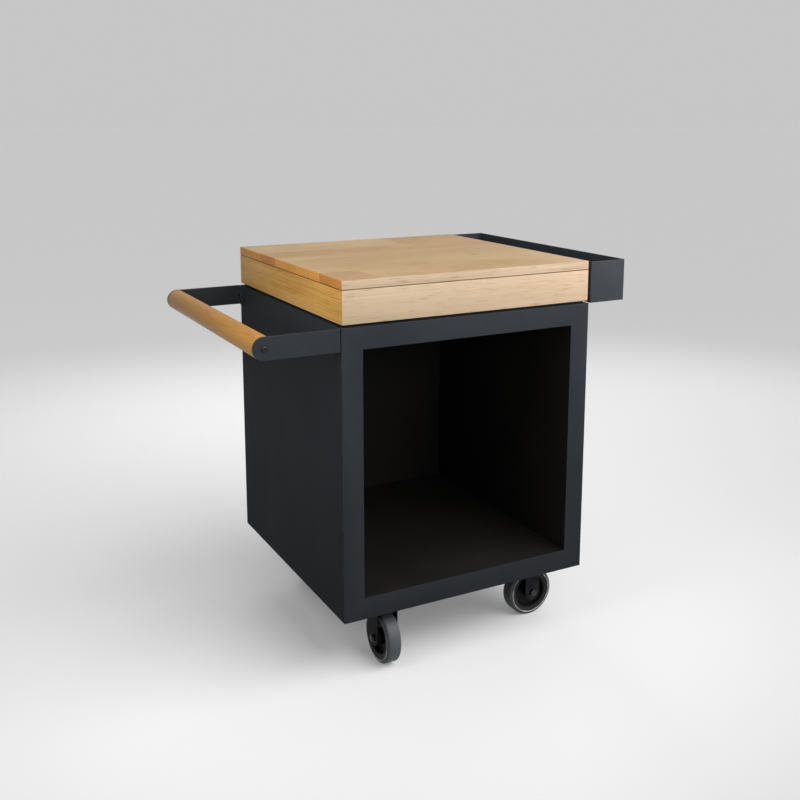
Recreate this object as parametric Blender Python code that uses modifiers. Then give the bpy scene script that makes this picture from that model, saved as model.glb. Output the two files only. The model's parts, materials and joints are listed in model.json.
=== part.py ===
# Mobile prep table: a folded sheet steel log cabinet on four swivel casters, with a hollow wooden
# block and lift-off board on top, a round push handle on the left and a herb trough on the right.
# Metres, +Z up. The origin is on the floor, under the middle of the overall box. The open front faces -Y.

import math

import bmesh
import bpy
from mathutils import Matrix, Vector

# Running gaps
FIT = 0.0003
SEAT = 0.0003

# Cabinet
CABINET_WIDTH = 0.650
CABINET_DEPTH = 0.650
CABINET_HEIGHT = 0.670
FACE_WIDTH = 0.050
SHEET = 0.002
LINER = 0.0015
LINER_STEP = 0.0015
LINER_FLANGE = 0.015
PANEL_FLANGE = 0.020
TRAY_FLANGE = 0.015
BAY_BACK_SPACE = 0.024

# Wooden block and board
SHADOW_GAP = 0.006
BLOCK_INSET = 0.002
BLOCK_HEIGHT = 0.075
BLOCK_WALL = 0.025
BOARD_THICKNESS = 0.021
WOOD_EDGE = 0.0008
PLINTH_INSET = 0.008
PLINTH_BAR = 0.020
BLOCK_SCREW_INSET = 0.015
BLOCK_SCREW_DEPTH = 0.030
BATTEN_WIDTH = 0.040
BATTEN_HEIGHT = 0.018
BATTEN_CLEARANCE = 0.002
BATTEN_SCREWS = 3
BOARD_LIFT = 0.100

# Handle
BAR_RADIUS = 0.025
BAR_REACH = 0.172
ARM_THICKNESS = 0.005
ARM_FLANGE = 0.030
ARM_SCREW_INSET = 0.018
HANDLE_BOLT_DEPTH = 0.045

# Herb trough
TROUGH_WIDTH = 0.100
TROUGH_HEIGHT = 0.100
TROUGH_WALL = 0.002
TROUGH_GAP = 0.005
TROUGH_BOLT_SPACING = 0.440
TROUGH_BOLT_HEIGHTS = (0.026, 0.062)
TROUGH_BOSS_RADIUS = 0.009
TROUGH_SCREW_DEPTH = 0.016

# Casters
CASTER_HEIGHT = 0.150
CASTER_INSET_X = 0.128
CASTER_INSET_Y = 0.1025
TRAIL = 0.040
WHEEL_RADIUS = 0.0625
TYRE_WIDTH = 0.037
TREAD_WIDTH = 0.027
SIDEWALL_RADIUS = 0.057
RIM_RADIUS = 0.044
RIM_WIDTH = 0.032
HUB_RADIUS = 0.015
HUB_LENGTH = 0.041
AXLE_RADIUS = 0.005
AXLE_HEAD = (0.0085, 0.0055)
AXLE_NUT = 0.0075
SLEEVE_RADIUS = 0.0085
SLEEVE_LENGTH = 0.0464
FORK_SHEET = 0.003
FORK_BEND = 0.008
LEG_WIDTH = 0.042
LEG_END_RADIUS = 0.0195
PLATE_LENGTH = 0.105
PLATE_WIDTH = 0.085
PLATE_THICKNESS = 0.0035
PLATE_CORNER = 0.008
PLATE_BOLTS_X = 0.080
PLATE_BOLTS_Y = 0.060
RACE_RADIUS = 0.031
RACE_DEPTH = 0.0067
KING_PIN_RADIUS = 0.0058
BRAKE_PIVOT = (TRAIL + 0.036, -0.0195)
BRAKE_PIN_RADIUS = 0.003
BRAKE_LOBE = 0.0137
BRAKE_TRAVEL = math.radians(12)

# Fasteners: thread radius, head radius, head height
M8 = (0.004, 0.0065, 0.0038)
M8_HEX = (0.004, 0.0075, 0.0053)
M6 = (0.003, 0.0053, 0.0033)
WOOD_SCREW = (0.0022, 0.0045, 0.0026)
NUT_HEIGHT = 0.0065

ROUND_STEPS = 28
RIM_STEPS = 20
SMALL_STEPS = 8

# Derived places
HANDLE_REACH = BAR_REACH + BAR_RADIUS
TROUGH_REACH = TROUGH_GAP + TROUGH_WIDTH
TABLE_X = (HANDLE_REACH - TROUGH_REACH) / 2
HALF_W = CABINET_WIDTH / 2
HALF_D = CABINET_DEPTH / 2
FLOOR_Z = CASTER_HEIGHT
TOP_Z = FLOOR_Z + CABINET_HEIGHT
BAY_HALF = HALF_W - FACE_WIDTH
BAY_LOW = FLOOR_Z + FACE_WIDTH
BAY_HIGH = TOP_Z - FACE_WIDTH
BAY_BACK = HALF_D - BAY_BACK_SPACE
BLOCK_HALF_W = HALF_W - BLOCK_INSET
BLOCK_HALF_D = HALF_D - BLOCK_INSET
BLOCK_LOW = TOP_Z + SHADOW_GAP
SEAM_Z = BLOCK_LOW + BLOCK_HEIGHT
BAR_Z = TOP_Z - BAR_RADIUS
LEG_GAP = HUB_LENGTH / 2 + 0.003
FORK_HALF = LEG_GAP + FORK_SHEET
AXLE_Z = WHEEL_RADIUS - CASTER_HEIGHT
CROWN_TOP = -PLATE_THICKNESS - SEAT - RACE_DEPTH - FIT

# The way each caster trails, in degrees from +X, as the photograph shows the front two
CASTERS = {
    "front_left": (-1, -1, -90),
    "front_right": (1, -1, 0),
    "back_left": (-1, 1, 0),
    "back_right": (1, 1, 180),
}
BRAKED = ("back_left", "back_right")

PAINT = ((0.052, 0.056, 0.062), 0.55, 0.0)
LINER_PAINT = ((0.030, 0.030, 0.031), 0.60, 0.0)
OILED_WOOD = ((0.62, 0.42, 0.22), 0.50, 0.0)
FRAME_WOOD = ((0.64, 0.45, 0.25), 0.50, 0.0)
BAR_WOOD = ((0.42, 0.25, 0.10), 0.45, 0.0)
BLACK_STEEL = ((0.035, 0.035, 0.038), 0.45, 0.6)
ZINC = ((0.42, 0.42, 0.43), 0.35, 1.0)
BLACK_PLASTIC = ((0.015, 0.015, 0.016), 0.50, 0.0)
GREY_RUBBER = ((0.085, 0.090, 0.095), 0.75, 0.0)


def clear_scene():
    for thing in list(bpy.data.objects):
        bpy.data.objects.remove(thing)


def collection(name):
    made = bpy.data.collections.new(name)
    bpy.context.scene.collection.children.link(made)
    return made


def paint(thing, finish):
    colour, roughness, metallic = finish
    made = bpy.data.materials.new(thing.name)
    made.use_nodes = True
    shader = made.node_tree.nodes["Principled BSDF"]
    shader.inputs["Base Color"].default_value = (*colour, 1.0)
    shader.inputs["Roughness"].default_value = roughness
    shader.inputs["Metallic"].default_value = metallic
    thing.data.materials.clear()
    thing.data.materials.append(made)


def link(mesh, name, finish, parent=None, origin=(0, 0, 0)):
    """A named object of the table, with its mesh moved so that the object's origin is at origin."""
    thing = bpy.data.objects.new(name, mesh)
    mesh.transform(Matrix.Translation(-Vector(origin)))
    thing.location = origin
    thing.parent = parent or TABLE
    PARTS.objects.link(thing)
    if finish:
        paint(thing, finish)
    return thing


def empty(name, location, parent, turn=0.0):
    made = bpy.data.objects.new(name, None)
    made.location = location
    made.rotation_euler.z = turn
    made.parent = parent
    PARTS.objects.link(made)
    return made


def bm_mesh(name, bm):
    mesh = bpy.data.meshes.new(name)
    bm.to_mesh(mesh)
    bm.free()
    return mesh


def cube_bmesh(low, high):
    low, high = Vector(low), Vector(high)
    bm = bmesh.new()
    size = high - low
    place = Matrix.Translation((low + high) / 2) @ Matrix.Diagonal((*size, 1))
    bmesh.ops.create_cube(bm, size=1, matrix=place)
    return bm


def block(name, low, high, finish, parent=None, round_edge=0.0):
    middle = (Vector(low) + Vector(high)) / 2
    thing = link(bm_mesh(name, cube_bmesh(low, high)), name, finish, parent, middle)
    if round_edge:
        soften(thing, round_edge)
    return thing


def soften(thing, width, segments=1):
    bevel = thing.modifiers.new("edges", "BEVEL")
    bevel.width = width
    bevel.segments = segments
    bevel.limit_method = "ANGLE"


def folded_tray(name, low, high, open_sides, wall, finish, parent=None):
    """A folded sheet: a box without the faces on its open sides, thickened inwards."""
    bm = cube_bmesh(low, high)
    bm.faces.ensure_lookup_table()
    gone = [f for f in bm.faces if any(f.normal.dot(Vector(side)) > 0.9 for side in open_sides)]
    bmesh.ops.delete(bm, geom=gone, context="FACES")
    middle = (Vector(low) + Vector(high)) / 2
    thing = link(bm_mesh(name, bm), name, finish, parent, middle)
    thicken(thing, wall)
    return thing


def thicken(thing, wall):
    shell = thing.modifiers.new("sheet", "SOLIDIFY")
    shell.thickness = wall
    shell.offset = -1
    shell.use_even_offset = True


def outline(name, loops, thickness, finish, parent=None, place=None):
    """A flat plate from closed 2D loops, centred on its own plane, then placed by a matrix."""
    curve = bpy.data.curves.new(name, "CURVE")
    curve.dimensions = "2D"
    curve.fill_mode = "BOTH"
    curve.extrude = thickness / 2
    for loop in loops:
        spline = curve.splines.new("POLY")
        spline.points.add(len(loop) - 1)
        for point, (x, y) in zip(spline.points, loop):
            point.co = (x, y, 0, 1)
        spline.use_cyclic_u = True
    drawn = bpy.data.objects.new(name + "_outline", curve)
    PARTS.objects.link(drawn)
    graph = bpy.context.evaluated_depsgraph_get()
    mesh = bpy.data.meshes.new_from_object(drawn.evaluated_get(graph))
    bpy.data.objects.remove(drawn)
    bm = bmesh.new()
    bm.from_mesh(mesh)
    bmesh.ops.remove_doubles(bm, verts=bm.verts, dist=0.00001)
    bmesh.ops.recalc_face_normals(bm, faces=bm.faces)
    bm.to_mesh(mesh)
    bm.free()
    mesh.transform(place or Matrix.Identity(4))
    centre = sum((v.co for v in mesh.vertices), Vector()) / len(mesh.vertices)
    return link(mesh, name, finish, parent, centre)


def turned(name, profile, finish, parent=None, closed=False, steps=ROUND_STEPS, place=None):
    """A turned shape about Z: its profile at +X runs down the outer side."""
    count = len(profile)
    edges = [(i, i + 1) for i in range(count - 1)]
    if closed:
        edges.append((count - 1, 0))
    mesh = bpy.data.meshes.new(name)
    mesh.from_pydata([(x, 0, z) for x, z in profile], edges, [])
    thing = bpy.data.objects.new(name, mesh)
    thing.parent = parent or TABLE
    thing.matrix_local = place or Matrix.Identity(4)
    PARTS.objects.link(thing)
    paint(thing, finish)
    screw = thing.modifiers.new("turn", "SCREW")
    screw.steps = steps
    screw.render_steps = steps
    screw.use_merge_vertices = True
    screw.merge_threshold = 0.00001
    screw.use_smooth_shade = True
    return thing


def rod_bmesh(bm, start, end, radius, segments=SMALL_STEPS):
    start, end = Vector(start), Vector(end)
    along = end - start
    place = Matrix.Translation((start + end) / 2) @ along.to_track_quat("Z", "Y").to_matrix().to_4x4()
    size = {"radius1": radius, "radius2": radius, "depth": along.length}
    bmesh.ops.create_cone(bm, cap_ends=True, segments=segments, matrix=place, **size)


def combine(thing, others, operation):
    """Joins, cuts or trims a part by a group of closed shapes kept as cutters."""
    for other in others:
        other.display_type = "WIRE"
        other.hide_render = True
        if other.name in PARTS.objects:
            PARTS.objects.unlink(other)
            CUTTERS.objects.link(other)
        change = thing.modifiers.new(operation.lower(), "BOOLEAN")
        change.operation = operation
        change.object = other
        change.solver = "EXACT"
    return thing


def drill(thing, holes, segments=SMALL_STEPS):
    """Cuts round holes, each (start, end, radius) in the frame of the part's parent."""
    bm = bmesh.new()
    for start, end, radius in holes:
        rod_bmesh(bm, start, end, radius, segments)
    cutter = link(bm_mesh(thing.name + "_holes", bm), thing.name + "_holes", None, thing.parent)
    return combine(thing, [cutter], "DIFFERENCE")


def screw_shapes(name, places, thread, parent, head_sides, nut):
    """Heads, and nuts if there are any, as closed shapes for screws that start at the given places."""
    heads = bmesh.new()
    nuts = bmesh.new()
    for seat, direction, _ in places:
        seat, way = Vector(seat), Vector(direction)
        rod_bmesh(heads, seat - way * thread[2], seat, thread[1], head_sides)
        if nut:
            rod_bmesh(nuts, seat + way * nut[0], seat + way * (nut[0] + nut[1]), thread[1], 6)
    shapes = [link(bm_mesh(name + "_heads", heads), name + "_heads", None, parent)]
    if nut:
        shapes.append(link(bm_mesh(name + "_nuts", nuts), name + "_nuts", None, parent))
    return shapes


def shanks(name, places, thread, finish, parent, origin=(0, 0, 0)):
    bm = bmesh.new()
    for seat, direction, length in places:
        seat, way = Vector(seat), Vector(direction)
        rod_bmesh(bm, seat - way * thread[2] / 2, seat + way * length, thread[0])
    return link(bm_mesh(name, bm), name, finish, parent, origin)


def screw(name, place, thread, finish, parent=None, head_sides=SMALL_STEPS, nut=None):
    """One loose screw, its place given as (seat of the head, direction of the shank, shank length)."""
    made = shanks(name, [place], thread, finish, parent, place[0])
    return combine(made, screw_shapes(name, [place], thread, parent, head_sides, nut), "UNION")


def fixed_screws(host, places, thread, head_sides=SMALL_STEPS, nut=None):
    """Screws that stay with the part they hold, and are one solid with it."""
    shapes = [shanks(host.name + "_shanks", places, thread, None, host.parent)]
    shapes += screw_shapes(host.name, places, thread, host.parent, head_sides, nut)
    return combine(host, shapes, "UNION")


def rectangle(half_x, half_y, centre=(0, 0)):
    corners = ((-1, -1), (1, -1), (1, 1), (-1, 1))
    return [(centre[0] + s * half_x, centre[1] + t * half_y) for s, t in corners]


def arc(centre, radius, start, end, steps):
    """Points of an arc from start to end, in degrees."""
    angles = [math.radians(start + (end - start) * i / steps) for i in range(steps + 1)]
    return [(centre[0] + radius * math.cos(a), centre[1] + radius * math.sin(a)) for a in angles]


def rounded_rectangle(half_x, half_y, corner, steps=3):
    points = []
    for sx, sy, start in ((1, -1, -90), (1, 1, 0), (-1, 1, 90), (-1, -1, 180)):
        centre = (sx * (half_x - corner), sy * (half_y - corner))
        points += arc(centre, corner, start, start + 90, steps)
    return points


def standing(y, z=0.0, x=0.0):
    """Stands a flat plate up in the XZ plane."""
    return Matrix.Translation((x, y, z)) @ Matrix.Rotation(math.radians(90), 4, "X")


def build_cabinet():
    front = -HALF_D + SHEET + SEAT
    inner = HALF_W - SHEET - SEAT
    outer = rectangle(HALF_W, CABINET_HEIGHT / 2)
    bay = rectangle(BAY_HALF, CABINET_HEIGHT / 2 - FACE_WIDTH)
    face_place = standing(-HALF_D + SHEET / 2, FLOOR_Z + CABINET_HEIGHT / 2)
    outline("front_frame", [outer, bay], SHEET, PAINT, place=face_place)

    top, bottom = (0, 0, 1), (0, 0, -1)
    sides = {}
    for name, side in (("left_side_panel", -1), ("right_side_panel", 1)):
        xs = sorted((side * HALF_W, side * (HALF_W - PANEL_FLANGE)))
        low, high = (xs[0], front, FLOOR_Z), (xs[1], HALF_D, TOP_Z)
        sides[side] = folded_tray(name, low, high, [(-side, 0, 0), top, bottom], SHEET, PAINT)
    wall, radius = -HALF_W, M8[0] + FIT
    drill(sides[-1], [((wall - 0.01, y, BAR_Z), (wall + 0.01, y, BAR_Z), radius) for y in arm_screw_ys()])

    back_inner = HALF_D - SHEET - SEAT
    back = block("back_panel", (-inner, back_inner - SHEET, FLOOR_Z), (inner, back_inner, TOP_Z), PAINT)
    screws = back_screw_places()
    for side in sides:
        mine = [(x, z) for x, z in screws if x * side > 0]
        drill(sides[side], [((x, HALF_D - 0.012, z), (x, HALF_D + 0.01, z), M6[0] + FIT) for x, z in mine])
    fixed_screws(back, [((x, HALF_D + SEAT, z), (0, -1, 0), 0.0095) for x, z in screws], M6)

    tray_front = front + SHEET + SEAT
    tray_back = back_inner - SHEET - SEAT
    low, high = (-inner, tray_front, FLOOR_Z), (inner, tray_back, FLOOR_Z + TRAY_FLANGE)
    base = folded_tray("base_panel", low, high, [top], SHEET, PAINT)
    z, radius = FLOOR_Z, M8_HEX[0] + FIT
    drill(base, [((x, y, z - 0.01), (x, y, z + 0.01), radius) for x, y in plate_bolt_places()])
    low, high = (-inner, tray_front, TOP_Z - TRAY_FLANGE), (inner, tray_back, TOP_Z)
    lid = folded_tray("top_panel", low, high, [bottom], SHEET, PAINT)
    z, radius = TOP_Z, WOOD_SCREW[0] + FIT
    drill(lid, [((x, y, z - 0.01), (x, y, z + 0.01), radius) for x, y in block_screw_places()])
    build_bay(front)


def build_bay(front):
    """The inner liner of the log bay: floor, ceiling, two walls and a back, each a folded tray."""
    half = BAY_HALF + LINER_STEP
    floor_top = BAY_LOW - LINER_STEP
    roof_low = BAY_HIGH + LINER_STEP
    inner = half - SEAT
    low, high = (-inner, front, floor_top - LINER_FLANGE), (inner, BAY_BACK, floor_top)
    folded_tray("bay_floor", low, high, [(0, 0, -1)], LINER, LINER_PAINT)
    low, high = (-inner, front, roof_low), (inner, BAY_BACK, roof_low + LINER_FLANGE)
    folded_tray("bay_ceiling", low, high, [(0, 0, 1)], LINER, LINER_PAINT)
    for name, side in (("bay_left_wall", -1), ("bay_right_wall", 1)):
        xs = sorted((side * half, side * (half + LINER_FLANGE)))
        low, high = (xs[0], front, floor_top - LINER_FLANGE), (xs[1], BAY_BACK, roof_low + LINER_FLANGE)
        folded_tray(name, low, high, [(side, 0, 0)], LINER, LINER_PAINT)
    folded_tray(
        "bay_back_wall",
        (-half - LINER_FLANGE, BAY_BACK + SEAT, floor_top - LINER_FLANGE),
        (half + LINER_FLANGE, BAY_BACK + SEAT + LINER_FLANGE, roof_low + LINER_FLANGE),
        [(0, 1, 0)],
        LINER,
        LINER_PAINT,
    )


def back_screw_places():
    x = HALF_W - PANEL_FLANGE / 2
    rows = 4
    margin = 0.060
    step = (CABINET_HEIGHT - 2 * margin) / (rows - 1)
    return [(side * x, FLOOR_Z + margin + step * i) for side in (-1, 1) for i in range(rows)]


def block_screw_places():
    """Two screws up into each board of the block, through the plinth's bars."""
    x = BLOCK_HALF_W - BLOCK_SCREW_INSET
    y = BLOCK_HALF_D - BLOCK_SCREW_INSET
    corners = [(s, t) for s in (-1, 1) for t in (-1, 1)]
    along = 0.62
    return [(s * x * along, t * y) for s, t in corners] + [(s * x, t * y * along) for s, t in corners]


def mitred_board(name, length, depth, turn, holes):
    """One side of the block, mitred at both ends, seen from above and turned about Z."""
    outer = length / 2 - SEAT
    inner = outer - BLOCK_WALL
    shape = [(-outer, -depth), (outer, -depth), (inner, -depth + BLOCK_WALL), (-inner, -depth + BLOCK_WALL)]
    height = BLOCK_HEIGHT - SEAT
    place = Matrix.Rotation(turn, 4, "Z") @ Matrix.Translation((0, 0, BLOCK_LOW + SEAT + height / 2))
    board = outline(name, [shape], height, FRAME_WOOD, place=place)
    return drill(board, holes)


def build_block():
    x, y = BLOCK_HALF_W - PLINTH_INSET, BLOCK_HALF_D - PLINTH_INSET
    height = SHADOW_GAP - SEAT
    plinth = outline(
        "plinth_frame",
        [rectangle(x, y), rectangle(x - PLINTH_BAR, y - PLINTH_BAR)],
        height,
        BLACK_STEEL,
        place=Matrix.Translation((0, 0, TOP_Z + SEAT + height / 2)),
    )
    spots = block_screw_places()
    radius = WOOD_SCREW[0] + FIT
    seat = TOP_Z - SHEET - SEAT
    length = SHEET + SHADOW_GAP + BLOCK_SCREW_DEPTH
    fixed_screws(plinth, [((sx, sy, seat), (0, 0, 1), length) for sx, sy in spots], WOOD_SCREW)
    width, depth = 2 * BLOCK_HALF_W, 2 * BLOCK_HALF_D
    for name, length, half, turn in (
        ("block_front_board", width, BLOCK_HALF_D, 0),
        ("block_right_board", depth, BLOCK_HALF_W, 90),
        ("block_back_board", width, BLOCK_HALF_D, 180),
        ("block_left_board", depth, BLOCK_HALF_W, 270),
    ):
        angle = math.radians(turn)
        outward = Vector((math.sin(angle), -math.cos(angle), 0))
        mine = [s for s in spots if Vector((*s, 0)).dot(outward) > half - BLOCK_WALL]
        deep = BLOCK_LOW + BLOCK_SCREW_DEPTH + 0.002
        holes = [((sx, sy, BLOCK_LOW - 0.01), (sx, sy, deep), radius) for sx, sy in mine]
        if name == "block_right_board":
            inner = half - TROUGH_SCREW_DEPTH - 0.002
            holes += [((inner, by, bz), (half + 0.01, by, bz), radius) for by, bz in trough_bolt_places()]
        mitred_board(name, length, half, angle, holes)


def build_board():
    """The lift-off board, with two battens below that drop inside the block."""
    low = SEAM_Z + SEAT
    high = SEAM_Z + BOARD_THICKNESS
    lift = empty("board_lift", (0, 0, low), TABLE)
    board = block(
        "cutting_board",
        (-BLOCK_HALF_W, -BLOCK_HALF_D, 0),
        (BLOCK_HALF_W, BLOCK_HALF_D, high - low),
        OILED_WOOD,
        lift,
        WOOD_EDGE,
    )
    inside_x = BLOCK_HALF_W - BLOCK_WALL - BATTEN_CLEARANCE
    inside_y = BLOCK_HALF_D - BLOCK_WALL - BATTEN_CLEARANCE
    centre = inside_x - BATTEN_WIDTH / 2
    spread = inside_y - 0.045
    spots = []
    for name, side in (("left_batten", -1), ("right_batten", 1)):
        x = side * centre
        half = BATTEN_WIDTH / 2
        batten = block(
            name,
            (x - half, -inside_y, -SEAT - BATTEN_HEIGHT),
            (x + half, inside_y, -SEAT),
            OILED_WOOD,
            lift,
            WOOD_EDGE,
        )
        ys = [-spread + 2 * spread * i / (BATTEN_SCREWS - 1) for i in range(BATTEN_SCREWS)]
        seat = -SEAT - BATTEN_HEIGHT
        length = SEAT + BATTEN_HEIGHT + BOARD_THICKNESS * 0.5
        fixed_screws(batten, [((x, y, seat), (0, 0, 1), length) for y in ys], WOOD_SCREW)
        spots += [(x, y) for y in ys]
    drill(board, [((x, y, -0.01), (x, y, BOARD_THICKNESS * 0.6), WOOD_SCREW[0] + FIT) for x, y in spots])


def arm_screw_ys():
    return [side * (HALF_D - ARM_SCREW_INSET) for side in (-1, 1)]


def handle_arm(name, side):
    """One flat arm: a strip bent to a flange on the cabinet's side, with a round end for the bar."""
    bend = ARM_THICKNESS
    reach = -HALF_W - HANDLE_REACH
    wall = -HALF_W - SEAT
    face = -HALF_D
    centre = (wall - bend, face + bend)
    path = [(reach, face), *arc(centre, bend, -90, 0, 4), (wall, face + ARM_FLANGE)]
    back = [(wall - ARM_THICKNESS, face + ARM_FLANGE), (wall - ARM_THICKNESS, face + ARM_THICKNESS)]
    strip = [(x, y * -side) for x, y in path + back + [(reach, face + ARM_THICKNESS)]]
    place = Matrix.Translation((0, 0, BAR_Z))
    arm = outline(name, [strip], 2 * BAR_RADIUS + 0.010, PAINT, place=place)
    bar_x = -HALF_W - BAR_REACH
    end = arc((bar_x, 0), BAR_RADIUS, 90, 270, 12)
    shape = end + [(-HALF_W + 0.05, -BAR_RADIUS), (-HALF_W + 0.05, BAR_RADIUS)]
    trim = outline(name + "_side_view", [shape], 0.08, None, place=standing(side * HALF_D, BAR_Z))
    combine(arm, [trim], "INTERSECT")
    holes = [((bar_x, side * (HALF_D - 0.02), BAR_Z), (bar_x, side * (HALF_D + 0.01), BAR_Z), M8[0] + FIT)]
    screw_y = side * (HALF_D - ARM_SCREW_INSET)
    holes.append(((-HALF_W - 0.02, screw_y, BAR_Z), (-HALF_W + 0.01, screw_y, BAR_Z), M8[0] + FIT))
    return drill(arm, holes)


def build_handle():
    handle_arm("handle_arm_front", -1)
    handle_arm("handle_arm_back", 1)
    x = -HALF_W - BAR_REACH
    end = HALF_D - ARM_THICKNESS - SEAT
    bm = bmesh.new()
    rod_bmesh(bm, (x, -end, BAR_Z), (x, end, BAR_Z), BAR_RADIUS, ROUND_STEPS)
    bar = link(bm_mesh("handle_bar", bm), "handle_bar", BAR_WOOD, origin=(x, 0, BAR_Z))
    depth = HANDLE_BOLT_DEPTH
    inner = end + ARM_THICKNESS - depth - 0.002
    drill(bar, [((x, s * inner, BAR_Z), (x, s * (end + 0.01), BAR_Z), M8[0] + FIT) for s in (-1, 1)])
    seat = -HALF_W - ARM_THICKNESS - 2 * SEAT
    grip = ARM_THICKNESS + SHEET + 3 * SEAT
    for end_name, s in (("front", -1), ("back", 1)):
        face = s * (HALF_D + SEAT)
        bolt = screw("handle_bolt_" + end_name, ((x, face, BAR_Z), (0, -s, 0), depth), M8, ZINC)
        socket = bmesh.new()
        tip = face + s * M8[2]
        rod_bmesh(socket, (x, tip - s * 0.0026, BAR_Z), (x, tip + s * 0.002, BAR_Z), 0.0029, 6)
        cutter = link(bm_mesh(bolt.name + "_socket", socket), bolt.name + "_socket", None)
        combine(bolt, [cutter], "DIFFERENCE")
        place = ((seat, s * (HALF_D - ARM_SCREW_INSET), BAR_Z), (1, 0, 0), grip + NUT_HEIGHT * 0.9)
        screw("arm_screw_" + end_name, place, M8, ZINC, nut=(grip, NUT_HEIGHT))


def trough_bolt_places():
    return [(s * TROUGH_BOLT_SPACING / 2, TOP_Z + z) for s in (-1, 1) for z in TROUGH_BOLT_HEIGHTS]


def build_trough():
    low_x = HALF_W + TROUGH_GAP
    trough = folded_tray(
        "planter_trough",
        (low_x, -HALF_D, TOP_Z),
        (low_x + TROUGH_WIDTH, HALF_D, TOP_Z + TROUGH_HEIGHT),
        [(0, 0, 1)],
        TROUGH_WALL,
        PAINT,
    )
    spots = trough_bolt_places()
    near = BLOCK_HALF_W + SEAT
    bm = bmesh.new()
    for y, z in spots:
        rod_bmesh(bm, (near, y, z), (low_x + TROUGH_WALL / 2, y, z), TROUGH_BOSS_RADIUS)
    bosses = link(bm_mesh("trough_bosses", bm), "trough_bosses", None)
    combine(trough, [bosses], "UNION")
    radius = WOOD_SCREW[0] + FIT
    drill(trough, [((near - 0.01, y, z), (low_x + 0.01, y, z), radius) for y, z in spots])
    seat = low_x + TROUGH_WALL + SEAT
    length = seat - BLOCK_HALF_W + TROUGH_SCREW_DEPTH
    for i, (y, z) in enumerate(spots):
        screw(f"trough_screw_{i + 1}", ((seat, y, z), (-1, 0, 0), length), WOOD_SCREW, ZINC)


def caster_centre(side_x, side_y):
    return side_x * (HALF_W - CASTER_INSET_X), side_y * (HALF_D - CASTER_INSET_Y)


def plate_corners():
    return [(s * PLATE_BOLTS_X / 2, t * PLATE_BOLTS_Y / 2) for s in (-1, 1) for t in (-1, 1)]


def plate_bolt_places():
    places = []
    for side_x, side_y, _ in CASTERS.values():
        cx, cy = caster_centre(side_x, side_y)
        places += [(cx + x, cy + y) for x, y in plate_corners()]
    return places


def caster_plate(name, parent):
    """The fixed head: a bolted plate with its pressed ball race and the riveted king pin."""
    low = -SEAT - PLATE_THICKNESS
    plate = outline(
        name,
        [rounded_rectangle(PLATE_LENGTH / 2, PLATE_WIDTH / 2, PLATE_CORNER)],
        PLATE_THICKNESS,
        BLACK_STEEL,
        parent,
        Matrix.Translation((0, 0, -SEAT - PLATE_THICKNESS / 2)),
    )
    race_low = low - RACE_DEPTH
    rivet = CROWN_TOP - FORK_SHEET - FIT
    profile = [
        (0, low + 0.002),
        (RACE_RADIUS - 0.003, low + 0.002),
        (RACE_RADIUS, low - 0.004),
        (RACE_RADIUS - 0.002, race_low),
        (KING_PIN_RADIUS, race_low),
        (KING_PIN_RADIUS, rivet),
        (KING_PIN_RADIUS * 1.5, rivet),
        (KING_PIN_RADIUS * 1.2, rivet - 0.003),
        (0, rivet - 0.003),
    ]
    race = turned(name + "_race", profile, BLACK_STEEL, parent, steps=16)
    combine(plate, [race], "UNION")
    grip = PLATE_THICKNESS + 2 * SEAT + SHEET
    places = [((x, y, low), (0, 0, 1), grip + NUT_HEIGHT * 0.9) for x, y in plate_corners()]
    return fixed_screws(plate, places, M8_HEX, 6, (grip, NUT_HEIGHT))


def fork_outline(braked):
    """The fork seen from its side: a crown over the swivel axis and legs that trail to the axle."""
    top = CROWN_TOP + 0.005
    crown_low = CROWN_TOP - FORK_SHEET - 0.0045
    leg_front = TRAIL - LEG_WIDTH / 2
    leg_back = TRAIL + LEG_WIDTH / 2
    points = [(-0.033, top), (-0.033, crown_low + 0.004), (-0.028, crown_low)]
    points += [(leg_front - 0.006, crown_low), (leg_front, crown_low - 0.006), (leg_front, AXLE_Z + 0.004)]
    points += arc((TRAIL, AXLE_Z), LEG_END_RADIUS, 195, 345, 8)
    points += [(leg_back, AXLE_Z + 0.004)]
    if braked:
        px, pz = BRAKE_PIVOT
        points += [(leg_back, pz - 0.030), (px - 0.002, pz - 0.0085)]
        points += arc((px, pz), 0.0085, -60, 60, 5) + [(px, top)]
    else:
        points += [(leg_back, top)]
    return points


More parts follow.
